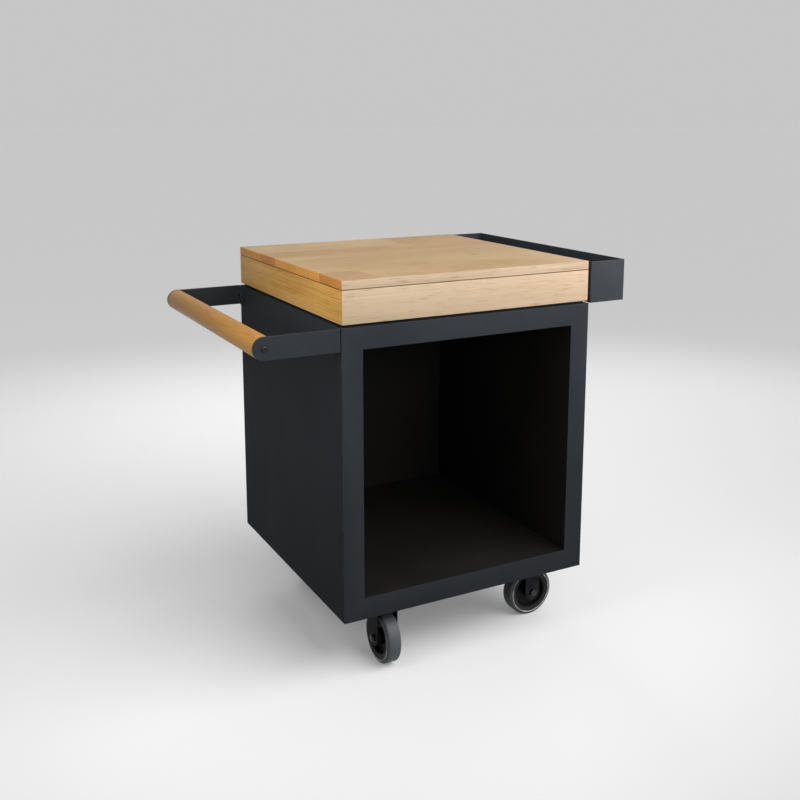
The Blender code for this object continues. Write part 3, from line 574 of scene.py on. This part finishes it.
buildSidePanel("cabinetLeftPanel", "left_side_panel", -1, panelSizes)
buildSidePanel("cabinetRightPanel", "right_side_panel", 1, panelSizes)
keepNodes(("base_panel", "top_panel"), powderCoat)
keepNodes(("bay_left_wall", "bay_right_wall", "bay_floor", "bay_ceiling", "bay_back_wall"), linerCoat)
keepNodes(("plinth_frame",), casterCoat)
print("cabinet built")


# screws

screwSizes = {
    "back": {"radius": 0.0053, "height": 0.0033, "socket": 0.0022},
    "arm": {"radius": 0.0062, "height": 0.0036, "socket": 0.0026},
    "trough": {"radius": 0.0045, "height": 0.0026, "socket": 0.0019},
}
# shares of the head's height that are domed and bored, and the rounding of the socket's rim
headShape = {"dome": 0.62, "bore": 1.3, "edge": 0.00015}


def socketBolt(name, seat, direction, sizes):
    way = Vector(direction).normalized()
    height = sizes["height"]
    head = addRod(name, (0, 0, height / 2), sizes["radius"], height, "Z", 48)
    freshEdit(head)
    pickFaces(head, facing((0, 0, 1)))
    bpy.ops.mesh.bevel(offset=height * headShape["dome"], segments=6, affect="EDGES")
    bpy.ops.object.mode_set(mode="OBJECT")
    bore = addRod(name + "Socket", (0, 0, height), sizes["socket"], height * headShape["bore"], "Z", 6)
    cut(head, bore)
    roundEdges(head, headShape["edge"], 1, 50)
    tidyMesh(head, 40)
    head.data.transform(Matrix.Translation(seat) @ way.to_track_quat("Z", "Y").to_matrix().to_4x4())
    return head


backSizes = {"gap": 0.0003, "edge": 0.0005, "margin": 0.060, "rows": 4}


def buildBackPanel(sizes):
    low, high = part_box("back_panel")
    sheet, margin, rows = panelSizes["sheet"], sizes["margin"], sizes["rows"]
    inner = cabinetBack - sheet - sizes["gap"]
    plate = addBox("cabinetBackPanel", (low.x, inner - sheet, cabinetFloor), (high.x, inner, cabinetTop))
    roundEdges(plate, sizes["edge"], 2)
    tidyMesh(plate)
    finished(plate, powderCoat, "table", "powder_coat", "back_panel")
    first = None
    step = (cabinetTop - cabinetFloor - 2 * margin) / (rows - 1)
    for side in (-1, 1):
        x = middleX + side * ((cabinetRight - cabinetLeft) / 2 - panelSizes["flange"] / 2)
        for row in range(rows):
            z = cabinetFloor + margin + row * step
            spot = Vector((x, cabinetBack, z))
            name = f"backScrew{'L' if side < 0 else 'R'}{row + 1}"
            if first is None:
                screw = first = socketBolt(name, spot, (0, 1, 0), screwSizes["back"])
                firstSpot = spot
            else:
                screw = copyPiece(first, name, Matrix.Translation(spot - firstSpot))
            finished(screw, casterCoat, "table", "powder_coat", "back_panel")


buildBackPanel(backSizes)
print("back built")


# wooden block and board

seamShadeTint = (-0.66, -0.76, -0.84)  # painted shade: the seam under the board is darkened where board meets block
blockSizes = {"wall": 0.025, "edge": 0.0009}
blockBoards = {
    # side and axis it faces, its wood, where the pith lay, what the board adds to the colour
    "Front": {"side": -1, "axis": 1, "wood": frontPaintedLightWood,
              "pith": (2.1, -0.270, 0.720), "tint": (0, 0, 0)},
    "Back": {"side": 1, "axis": 1, "wood": frontPaintedLightWood,
             "pith": (7.4, 0.190, 0.790), "tint": (-0.04, -0.06, -0.09)},
    "Left": {"side": -1, "axis": 0, "wood": sidePaintedLightWood,
             "pith": (-0.200, 4.3, 0.770), "tint": (0, 0, 0)},
    "Right": {"side": 1, "axis": 0, "wood": sidePaintedLightWood,
              "pith": (0.300, 9.8, 0.960), "tint": (-0.16, 0.03, 1.2)},
}


def markStaves(obj, find):
    found = [find(face) for face in obj.data.polygons]
    for name, pick in (("stavePith", 0), ("staveTint", 1)):
        store = obj.data.attributes.new(name, "FLOAT_VECTOR", "FACE")
        store.data.foreach_set("vector", [value for pair in found for value in pair[pick]])


toneWeights = (0.75, 1.15, 1.22)  # a darker stave loses more green and blue than red


def toneTint(tone, own=(0, 0, 0)):
    return [max(-0.92, (1 + base) * (1 + tone * weight) - 1) for base, weight in zip(own, toneWeights)]


def buildBlockBoard(name, look, sizes):
    node = f"block_{name.lower()}_board"
    low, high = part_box(node)
    board = addBox(f"block{name}Board", low, high)
    side, axis = look["side"], look["axis"]
    other = 1 - axis
    inner = [high, low][side > 0][axis]
    # both ends are mitred, by drawing the inner corners in
    freshEdit(board, "VERT")
    for end in (-1, 1):
        reach = [low, high][end > 0][other]
        pickVerts(board, lambda p: abs(p[axis] - inner) < touch and abs(p[other] - reach) < touch)
        move = [0, 0, 0]
        move[other] = -end * sizes["wall"]
        bpy.ops.transform.translate(value=move)
    bpy.ops.object.mode_set(mode="OBJECT")
    roundEdges(board, sizes["edge"], 3)
    tidyMesh(board)
    markEdges(board, sizes["edge"] * 0.7)
    seam = high.z - sizes["edge"]

    def find(face):
        # the block's top bevel along the seam gets painted shade
        onSeam = face.normal.z > 0.2 and face.center.z > seam
        return look["pith"], seamShadeTint if onSeam else look["tint"]

    markStaves(board, find)
    finished(board, look["wood"], "table", "block_wood", node)


for name, look in blockBoards.items():
    buildBlockBoard(name, look, blockSizes)

boardSizes = {"edge": 0.0014, "narrow": 0.0004, "joint": 0.0005, "jointTone": -0.34, "endTone": 1.8,
              "backEnds": -0.07, "frontTint": (0.06, 0.19, 0.69), "leftTint": (0.48, 0.06, -0.56),
              "rightTint": (0.07, 0.05, -0.02)}
# how far apart in the trunk the staves were sawn
pithSteps = {"row": 3.7, "piece": 1.9, "aside": 0.03, "under": 0.03, "deeper": 0.018}
# staves from front to back: the depth each row reaches, then each piece's start and tone
boardRows = [
    (0.116, [(0.0, -0.13), (0.090, 0.0), (0.465, -0.04)]),
    (0.253, [(0.0, 0.03)]),
    (0.389, [(0.0, 0.0)]),
    (0.490, [(0.0, -0.09), (0.353, -0.05)]),
    (0.646, [(0.0, 0.03), (0.413, -0.08)]),
]


def buildBoard(sizes, rows):
    low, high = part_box("cutting_board")
    board = addBox("boardTop", low, high)
    gap = sizes["joint"] / 2
    freshEdit(board)
    for reach, pieces in rows[:-1]:
        for shift in (-gap, gap):
            bpy.ops.mesh.select_all(action="SELECT")
            bpy.ops.mesh.bisect(plane_co=(0, low.y + reach + shift, 0), plane_no=(0, 1, 0))
    start = 0.0
    for reach, pieces in rows:
        for cutAt, tone in pieces[1:]:
            for shift in (-gap, gap):
                pickFaces(board, lambda f: start + gap < f.center.y - low.y < reach - gap)
                bpy.ops.mesh.bisect(plane_co=(low.x + cutAt + shift, 0, 0), plane_no=(1, 0, 0))
        start = reach
    bpy.ops.object.mode_set(mode="OBJECT")

    def find(face):
        along, across = face.center.x - low.x, face.center.y - low.y
        number = sum(across > reach for reach, pieces in rows[:-1])
        reach, pieces = rows[number]
        before = rows[number - 1][0] if number else 0.0
        own = max(i for i, (cutAt, tone) in enumerate(pieces) if along >= cutAt or i == 0)
        middle = low.y + (before + reach) / 2
        pith = (pithSteps["row"] * (number + 1) + pithSteps["piece"] * own,
                middle + pithSteps["aside"] * (-1) ** (number + own),
                low.z - pithSteps["under"] - pithSteps["deeper"] * ((number * 2 + own) % 4))
        tone, way = pieces[own][1], face.normal
        tint = (0, 0, 0)
        # painted light on the board's edges: the front and back edges are tinted paler and bluer, the left
        # end orange, the right end a little paler
        if abs(way.y) > 0.7:
            tint = sizes["frontTint"]
        if abs(way.x) > 0.7:
            tint = sizes["leftTint" if way.x < 0 else "rightTint"]
            tone = sizes["endTone"] * tone + sizes["backEnds"] * (number > 2)
        joints = [abs(across - edge) < gap * 1.1 for edge, pieces in rows[:-1]]
        joints += [abs(along - cutAt) < gap * 1.1 for cutAt, tone in pieces[1:]]
        if any(joints):
            tone = sizes["jointTone"]
        # the board's downward bevels get the painted seam shade, and the other faces get their stave tone and
        # tint
        return pith, seamShadeTint if -0.98 < way.z < -0.2 else toneTint(tone, tint)

    roundEdges(board, sizes["edge"], 4)
    tidyMesh(board)
    markEdges(board, sizes["narrow"])
    markStaves(board, find)
    finished(board, boardWood, "lift_off_board", "board_wood", "cutting_board")


buildBoard(boardSizes, boardRows)
keepNodes(("left_batten", "right_batten"), sidePaintedLightWood)
print("wood built")


# handle

armSizes = {"width": 0.050, "thickness": 0.005, "bend": 0.006, "flange": 0.030, "edge": 0.0005,
            "screwIn": 0.018}
barSizes = {"edge": 0.0012, "sides": 96}


def buildArm(name, node, side, sizes):
    low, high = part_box(node)
    radius = sizes["width"] / 2
    face = low.y if side < 0 else high.y
    centre = Vector((low.x + radius, face, (low.z + high.z) / 2))
    straightEnd = high.x - sizes["bend"]
    deselectAll()
    bpy.ops.mesh.primitive_circle_add(vertices=96, radius=radius, rotation=(quarter, 0, 0), location=centre)
    arm = applyPlace(bpy.context.object)
    arm.name = name
    # half a circle with straight sides, filled and given its thickness
    freshEdit(arm, "VERT")
    pickVerts(arm, lambda p: p.x > centre.x + touch)
    bpy.ops.mesh.delete(type="VERT")
    pickVerts(arm, lambda p: p.x > centre.x - touch)
    bpy.ops.mesh.extrude_vertices_move(TRANSFORM_OT_translate={"value": (straightEnd - centre.x, 0, 0)})
    bpy.ops.mesh.select_all(action="SELECT")
    bpy.ops.mesh.edge_face_add()
    bpy.ops.mesh.select_mode(type="FACE")
    bpy.ops.mesh.select_all(action="SELECT")
    bpy.ops.mesh.extrude_region_move(TRANSFORM_OT_translate={"value": (0, -side * sizes["thickness"], 0)})
    bpy.ops.mesh.select_all(action="SELECT")
    bpy.ops.mesh.normals_make_consistent(inside=False)
    # the end is bent inwards and carried on as the flange
    pickFaces(arm, lambda f: f.normal.x > 0.9 and f.center.x > straightEnd - touch)
    bpy.ops.mesh.spin(steps=8, angle=side * quarter, axis=(0, 0, 1),
                      center=(straightEnd, face - side * sizes["bend"], centre.z))
    bpy.ops.mesh.extrude_region_move(
        TRANSFORM_OT_translate={"value": (0, -side * (sizes["flange"] - sizes["bend"]), 0)})
    tidyMesh(arm)
    roundEdges(arm, sizes["edge"], 2, 50)
    tidyMesh(arm)
    markEdges(arm, sizes["edge"])
    finished(arm, powderCoat, "table", "powder_coat", node)
    return face, centre.z, centre.x


for name, node, side in (("handleFrontArm", "handle_arm_front", -1), ("handleBackArm", "handle_arm_back", 1)):
    face, barZ, barX = buildArm(name, node, side, armSizes)
    end = "Front" if side < 0 else "Back"
    bolt = socketBolt("handleBolt" + end, (barX, face, barZ), (0, side, 0), screwSizes["arm"])
    finished(bolt, boltSteel, "table", "zinc_steel", "handle_bolt_" + end.lower())
    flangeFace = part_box(node)[1].x - armSizes["thickness"]
    spotY = face - side * armSizes["screwIn"]
    bolt = socketBolt("armScrew" + end, (flangeFace, spotY, barZ), (-1, 0, 0), screwSizes["arm"])
    finished(bolt, boltSteel, "table", "zinc_steel", "arm_screw_" + end.lower())

low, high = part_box("handle_bar")
barSize = ((high.x - low.x) / 2, high.y - low.y)
bar = roundedRod("handleBar", (low + high) / 2, barSize, "Y", barSizes["sides"], barSizes["edge"])
finished(bar, barWood, "table", "bar_wood", "handle_bar")
print("handle built")


# trough

troughSizes = {"width": 0.100, "wall": 0.002, "edge": 0.0007, "boss": 0.009, "spacing": 0.440,
               "rows": (0.026, 0.062)}


def buildTrough(sizes):
    low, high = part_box("planter_trough")
    low.x = high.x - sizes["width"]
    trough = addBox("herbTrough", low, high)
    freshEdit(trough)
    pickFaces(trough, facing((0, 0, 1)))
    bpy.ops.mesh.inset(thickness=sizes["wall"], depth=0)
    down = sizes["wall"] - (high.z - low.z)
    bpy.ops.mesh.extrude_region_move(TRANSFORM_OT_translate={"value": (0, 0, down)})
    bpy.ops.object.mode_set(mode="OBJECT")
    roundEdges(trough, sizes["edge"], 3)
    tidyMesh(trough)
    markEdges(trough, sizes["edge"] * 0.7)
    finished(trough, troughPaintedLightCoat, "table", "powder_coat", "planter_trough")
    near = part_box("planter_trough")[0].x
    count = 0
    for side in (-1, 1):
        for row in sizes["rows"]:
            count += 1
            spot = Vector(((near + low.x) / 2, side * sizes["spacing"] / 2, low.z + row))
            boss = roundedRod(f"troughSpacer{count}", spot, (sizes["boss"], low.x - near), "X", 48)
            finished(boss, casterCoat, "table", "powder_coat", "planter_trough")
            inside = Vector((low.x + sizes["wall"], spot.y, spot.z))
            screw = socketBolt(f"troughScrew{count}", inside, (1, 0, 0), screwSizes["trough"])
            finished(screw, boltSteel, "table", "zinc_steel", f"trough_screw_{count}")


buildTrough(troughSizes)
print("trough built")


# casters

# the steps run from the outside to the middle: how far inwards, how far out
wheelSizes = {
    "radius": 0.0625, "tread": 0.027, "edge": 0.0005,
    "shoulder": [(0.0016, 0.0017), (0.0064, 0.0033), (0.0017, 0.0), (0.0006, -0.0014), (0.0079, -0.0008)],
    "ridge": 0.0537, "ridgeHalf": 0.0012, "ridgeOut": 0.0175, "rim": 0.0443, "rimWidth": 0.032,
    "dish": [(0.0030, 0.0), (0.0010, -0.0008), (0.0030, -0.0100), (0.0030, -0.0007), (0.0155, 0.0),
             (0.0010, 0.0120), (0.0012, 0.0040), (0.0035, 0.0)],
}


def steppedRing(name, size, sides, steps, edge, angle):
    ring = addRod(name, (0, 0, 0), *size, "Y", sides)
    freshEdit(ring)
    # only the round ends have this many corners
    for side in (1, -1):
        pickFaces(ring, lambda f: f.normal.y * side > 0.9 and len(f.vertices) > 20)
        for inwards, out in steps:
            bpy.ops.mesh.inset(thickness=inwards, depth=out)
    # what is left of them is joined into the bore
    pickFaces(ring, lambda f: abs(f.normal.y) > 0.9 and len(f.vertices) > 20)
    bpy.ops.mesh.bridge_edge_loops()
    bpy.ops.object.mode_set(mode="OBJECT")
    roundEdges(ring, edge, 2, angle)
    return tidyMesh(ring, 40)


def fromAxle(face):
    return math.hypot(face.center.x, face.center.z)


def buildWheel(sizes):
    tyre = steppedRing("tyre", (sizes["radius"], sizes["tread"]), 128, sizes["shoulder"], sizes["edge"], 18)
    ridge, half, out = sizes["ridge"], sizes["ridgeHalf"], sizes["ridgeOut"]
    # the ridge faces are marked for the painted highlight, and the sidewall inside the ridge for painted
    # shade
    markFaces(tyre, "edgeMask", lambda f: abs(fromAxle(f) - ridge) < half and abs(f.center.y) > out)
    markFaces(tyre, "sideMask", lambda f: fromAxle(f) < ridge - half)
    rim = steppedRing("rim", (sizes["rim"], sizes["rimWidth"]), 96, sizes["dish"], sizes["edge"], 30)
    return tyre, rim


tyreModel, rimModel = buildWheel(wheelSizes)

forkSizes = {"sheet": 0.003, "bend": 0.008, "legWidth": 0.042, "legEnd": 0.021, "legDrop": 0.0015,
             "trail": 0.040, "bottom": 0.030, "crownFront": -0.033, "crownDrop": 0.0075,
             "crownRound": 0.004, "half": 0.0265, "edge": 0.0004}
brakeSizes = {"pivot": (0.076, 0, 0.1305), "reach": 0.0845, "ear": 0.0085, "bridgeLow": 0.122,
              "lidFrom": 0.070, "lidLow": 0.131}


def brakeEars(trail, top, sizes):
    pivot = sizes["pivot"]
    ear = addRod("ear", pivot, sizes["ear"], 0.12, "Y", 48)
    bridge = addBox("bridge", (trail, -0.055, sizes["bridgeLow"]), (pivot[0], 0.055, top + 0.015))
    ear = cut(ear, bridge, "UNION")
    lid = addBox("lid", (sizes["lidFrom"], -0.054, sizes["lidLow"]), (sizes["reach"], 0.054, top + 0.012))
    return cut(ear, lid, "UNION")


def buildFork(name, braked, sizes):
    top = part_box("fork_back_left" if braked else "fork_front_right")[1].z
    trail, half, axleZ = sizes["trail"], sizes["legWidth"] / 2, wheelSizes["radius"]
    front, drop = sizes["crownFront"], sizes["crownDrop"]
    reach = brakeSizes["reach"] if braked else trail + half
    # a rounded hood of sheet, open below and at its front and back
    shell = addBox(name, (front, -sizes["half"], sizes["bottom"]), (reach, sizes["half"], top))
    freshEdit(shell)
    pickFaces(shell, lambda f: abs(f.normal.x) > 0.9 or f.normal.z < -0.9)
    bpy.ops.mesh.delete(type="FACE")
    bpy.ops.object.mode_set(mode="OBJECT")
    roundEdges(shell, sizes["bend"], 6)
    useModifier(shell, "SOLIDIFY", thickness=sizes["sheet"], offset=-1, use_even_offset=True)
    # then trimmed to its outline, whose parts stick out of the hood by unlike amounts
    outline = addBox(name + "Outline", (trail - half, -0.05, axleZ), (trail + half, 0.05, top + 0.01))
    legEnd = addRod("legEnd", (trail, 0, axleZ + sizes["legDrop"]), sizes["legEnd"], 0.1, "Y", 96)
    outline = cut(outline, legEnd, "UNION")
    crown = addBox("crown", (front - 0.01, -0.06, top - drop), (trail, 0.06, top + 0.02))
    roundEdges(crown, sizes["crownRound"], 4)
    outline = cut(outline, crown, "UNION")
    if braked:
        outline = cut(outline, brakeEars(trail, top, brakeSizes), "UNION")
    cut(shell, outline, "INTERSECT")
    tidyMesh(shell)
    roundEdges(shell, sizes["edge"], 2, 50)
    tidyMesh(shell, 40)
    markEdges(shell, sizes["edge"])
    return shell


forkPlain = buildFork("forkPlain", False, forkSizes)
forkBraked = buildFork("forkBraked", True, forkSizes)


# each turned part: where its middle lies on its axis, radius and length, sides, rounding
axleSizes = {
    "axleHead": {"at": -0.02955, "size": (0.0095, 0.0055), "sides": 6, "rounding": (0.0006, 3, 30)},
    "axleWasher": {"at": -0.0268, "size": (0.0105, 0.0009), "sides": 48, "rounding": ()},
    "axleNut": {"at": 0.03055, "size": (0.0095, 0.0075), "sides": 6, "rounding": (0.0006, 3, 30)},
    "axleEnd": {"at": 0.0313, "size": (0.0050, 0.0098), "sides": 32, "rounding": (0.0007, 2)},
    "axleSleeve": {"at": 0.0, "size": (0.0083, 0.0462), "sides": 48, "rounding": (0.0006, 2)},
}
plateTurned = {
    "casterRace": {"at": 0.1428, "size": (0.0305, 0.0067), "sides": 96, "rounding": (0.0022, 5, 40)},
    "kingPin": {"at": 0.1340, "size": (0.0085, 0.0045), "sides": 48, "rounding": (0.0018, 4, 40)},
    "plateBolt": {"at": 0.1436, "size": (0.0075, 0.0052), "sides": 6, "rounding": (0.0006, 3, 30)},
}
plateSizes = {"length": 0.105, "width": 0.085, "low": 0.1462, "high": 0.1497, "corner": 0.008,
              "edge": 0.0005, "bolts": (0.040, 0.030)}


def turnedParts(parts, axis):
    made = {}
    for name, look in parts.items():
        middle = [0, look["at"], 0] if axis == "Y" else [0, 0, look["at"]]
        made[name] = roundedRod(name, middle, look["size"], axis, look["sides"], *look["rounding"])
    return made


def buildPlate(sizes):
    half = (sizes["length"] / 2, sizes["width"] / 2)
    plate = addBox("casterPlate", (-half[0], -half[1], sizes["low"]), (*half, sizes["high"]))
    freshEdit(plate)
    pickEdges(plate, lambda a, b: abs(a.z - b.z) > touch)
    bpy.ops.mesh.bevel(offset=sizes["corner"], segments=8, affect="EDGES")
    bpy.ops.object.mode_set(mode="OBJECT")
    roundEdges(plate, sizes["edge"], 2, 50)
    return tidyMesh(plate, 40)


axleParts = turnedParts(axleSizes, "Y")
plateParts = {"casterPlate": buildPlate(plateSizes), **turnedParts(plateTurned, "Z")}

pedalSizes = {"low": (0.074, -0.019, 0.1310), "high": (0.098, 0.019, 0.1340), "edge": 0.0007,
              "steps": [(0.018, 0, -0.0055), (0.006, 0, -0.0045)], "padIn": 0.003, "groove": 0.0006,
              "barrel": (0.0052, 0.037), "pin": (0.0029, 0.059), "pinEdge": 0.0006}


def buildPedal(sizes, pivot):
    pedal = addBox("pedal", sizes["low"], sizes["high"])
    freshEdit(pedal)
    pickFaces(pedal, facing((1, 0, 0)))
    for step in sizes["steps"]:
        bpy.ops.mesh.extrude_region_move(TRANSFORM_OT_translate={"value": step})
    # the foot's pad, ringed by a groove
    pickFaces(pedal, lambda f: f.normal.z > 0.7 and f.center.x > sizes["high"][0])
    bpy.ops.mesh.inset(thickness=sizes["padIn"], depth=0)
    bpy.ops.mesh.inset(thickness=sizes["groove"], depth=-sizes["groove"])
    bpy.ops.object.mode_set(mode="OBJECT")
    roundEdges(pedal, sizes["edge"], 2)
    pedal = cut(pedal, addRod("barrel", pivot, *sizes["barrel"], "Y", 48), "UNION")
    pin = addRod("pedalPin", pivot, *sizes["pin"], "Y", 32)
    roundEdges(pin, sizes["pinEdge"], 2)
    pedal = cut(pedal, pin, "UNION")
    return tidyMesh(pedal, 40)


pedalModel = buildPedal(pedalSizes, brakeSizes["pivot"])

# the angle that each fork is turned to at rest
casters = {"front_left": -quarter, "front_right": 0.0, "back_left": 0.0, "back_right": math.pi}
boltX, boltY = plateSizes["bolts"]
plateBolts = [(s * boltX, t * boltY) for s in (-1, 1) for t in (-1, 1)]


def placeCaster(spot, turn):
    swivel = [j for j in frame["joints"] if j["name"] == "swivel_" + spot][0]
    post = Matrix.Translation((swivel["pos_m"][0], swivel["pos_m"][1], 0))
    turned = post @ Matrix.Rotation(turn, 4, "Z")
    axle = turned @ Matrix.Translation((forkSizes["trail"], 0, wheelSizes["radius"]))
    tag = "".join(word.capitalize() for word in spot.split("_"))
    forkBody, wheelBody, plateNode = "caster_fork_" + spot, "wheel_" + spot, "caster_plate_" + spot

    def put(model, name, place, *look):
        return finished(copyPiece(model, name + tag, place), *look)

    braked = spot.startswith("back")
    put(forkBraked if braked else forkPlain, "fork", turned, casterCoat, forkBody, "black_steel",
        "fork_" + spot)
    put(tyreModel, "tyre", axle, rubber, wheelBody, "grey_rubber", "tyre_" + spot)
    put(rimModel, "rim", axle, rimCoat, wheelBody, "wheel_plastic", "wheel_rim_" + spot)
    for label, model in axleParts.items():
        node = "hub_sleeve_" + spot if label == "axleSleeve" else "axle_" + spot
        put(model, label, axle, boltSteel, forkBody, "zinc_steel", node)
    for label in ("casterPlate", "casterRace", "kingPin"):
        put(plateParts[label], label, post, casterCoat, "table", "black_steel", plateNode)
    for number, (x, y) in enumerate(plateBolts):
        bolt = copyPiece(plateParts["plateBolt"], f"plateBolt{tag}{number + 1}",
                         post @ Matrix.Translation((x, y, 0)))
        finished(bolt, boltSteel, "table", "zinc_steel", plateNode)
    if braked:
        put(pedalModel, "brakePedal", turned, casterCoat, "brake_" + spot, "black_steel",
            "brake_pedal_" + spot)


for spot, turn in casters.items():
    placeCaster(spot, turn)
models = [tyreModel, rimModel, forkPlain, forkBraked, pedalModel, *axleParts.values(), *plateParts.values()]
for model in models:
    bpy.data.objects.remove(model)
print("casters built")


# floor, light and camera

# the floor is pale where it is seen, and gives back less light than that to the table
lightSettings = {"fill": 0.13, "floor": 0.76, "floorGiven": 0.22, "floorSeen": 0.17, "floorWidth": 400,
                 "key": 2.0, "keyFrom": (0.50, -0.60, 0.70), "keySpread": 64}
lamps = {
    "frontLamp": {"place": (0.35, -1.00, 1.01), "target": (0.05, -0.33, 0.80), "power": 7.2,
                  "size": (1.6, 0.2)},
    "topLamp": {"place": (0, 0.10, 2.20), "target": (0, 0.10, 0), "power": 4.6, "size": (1.0, 1.0)},
    "leftLamp": {"place": (-0.95, -0.45, 1.15), "target": (-0.3, 0, 0.86), "power": 4.6,
                 "size": (0.6, 0.6)},
    "rightLamp": {"place": (2.5, 1.5, 1.7), "target": (0.1, 0, 0.4), "power": 9, "size": (1.2, 1.2)},
    "backLamp": {"place": (0.45, 2.3, 1.75), "target": (0, 0.33, 0.6), "power": 16,
                 "size": (1.2, 1.0), "glare": False},
}
deselectAll()
bpy.ops.mesh.primitive_plane_add(size=lightSettings["floorWidth"], location=(0, 0, 0))
floor = bpy.context.object
floor.name = "studioFloor"


def seenDirectly(tree):
    rays = addNode(tree, "LightPath").outputs
    direct = addMath(tree, "MAXIMUM", rays["Is Camera Ray"], rays["Is Transmission Ray"])
    return addMath(tree, "MAXIMUM", direct, rays["Is Glossy Ray"])


floorMaterial, tree, shader = newMaterial("studio floor", 1.0, 0.0, 0.0)
pale, given = lightSettings["floor"], lightSettings["floorGiven"]
direct = seenDirectly(tree)
shade = mixColour(tree, direct, (given, given, given, 1), (pale, pale, pale, 1))
tree.links.new(shade, shader.inputs["Base Color"])
shader.inputs["Emission Color"].default_value = (1, 1, 1, 1)
glow = addMath(tree, "MULTIPLY", direct, lightSettings["floorSeen"])
tree.links.new(glow, shader.inputs["Emission Strength"])
floor.data.materials.append(floorMaterial)
floor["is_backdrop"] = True

world = bpy.data.worlds.new("studio")
bpy.context.scene.world = world
world.use_nodes = True
tree = world.node_tree
tree.nodes.clear()
fill = addNode(tree, "Background", {"Strength": lightSettings["fill"]})
# as bright as the far floor, so that no horizon shows
keyRise = Vector(lightSettings["keyFrom"]).normalized().z
keyWidth = (1 + math.cos(math.radians(lightSettings["keySpread"] / 2))) / 2
onFloor = lightSettings["key"] * keyRise * keyWidth / math.pi + lightSettings["fill"]
shade = pale * onFloor + lightSettings["floorSeen"]
seen = addNode(tree, "Background", {"Color": (shade, shade, shade, 1), "Strength": 1.0})
choose = addNode(tree, "MixShader")
tree.links.new(seenDirectly(tree), choose.inputs[0])
tree.links.new(fill.outputs[0], choose.inputs[1])
tree.links.new(seen.outputs[0], choose.inputs[2])
tree.links.new(choose.outputs[0], addNode(tree, "OutputWorld").inputs["Surface"])


def addLamp(name, kind, place, target, power, size, glare=True):
    lamp = bpy.data.objects.new(name, bpy.data.lights.new(name, kind))
    bpy.context.scene.collection.objects.link(lamp)
    lamp.location = place
    lamp.rotation_euler = (Vector(target) - Vector(place)).to_track_quat("-Z", "Y").to_euler()
    lamp.data.energy = power
    lamp.visible_camera = False
    lamp.visible_glossy = glare
    if kind == "SUN":
        lamp.data.angle = math.radians(size)
    else:
        lamp.data.shape = "RECTANGLE"
        lamp.data.size, lamp.data.size_y = size


keyPlace = Vector(lightSettings["keyFrom"]) * 4  # how far off it stands makes no difference
addLamp("keyLamp", "SUN", keyPlace, (0, 0, 0), lightSettings["key"], lightSettings["keySpread"])
for name, look in lamps.items():
    addLamp(name, "AREA", **look)

cameraSettings = {"place": (-1.1299, -2.2048, 1.2502), "turn": -27.77, "down": 10.37, "lens": 45.09,
                  "shift": -0.12}
data = bpy.data.cameras.new("photoCamera")
camera = bpy.data.objects.new("photoCamera", data)
bpy.context.scene.collection.objects.link(camera)
camera.location = cameraSettings["place"]
camera.rotation_euler = (math.radians(90 - cameraSettings["down"]), 0, math.radians(cameraSettings["turn"]))
data.sensor_width = 36
data.lens = cameraSettings["lens"]
data.shift_y = cameraSettings["shift"]
data.clip_start, data.clip_end = 0.05, 200
bpy.context.scene.camera = camera
bpy.context.scene.view_settings.view_transform = "Standard"

low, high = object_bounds()
print("scene ready")
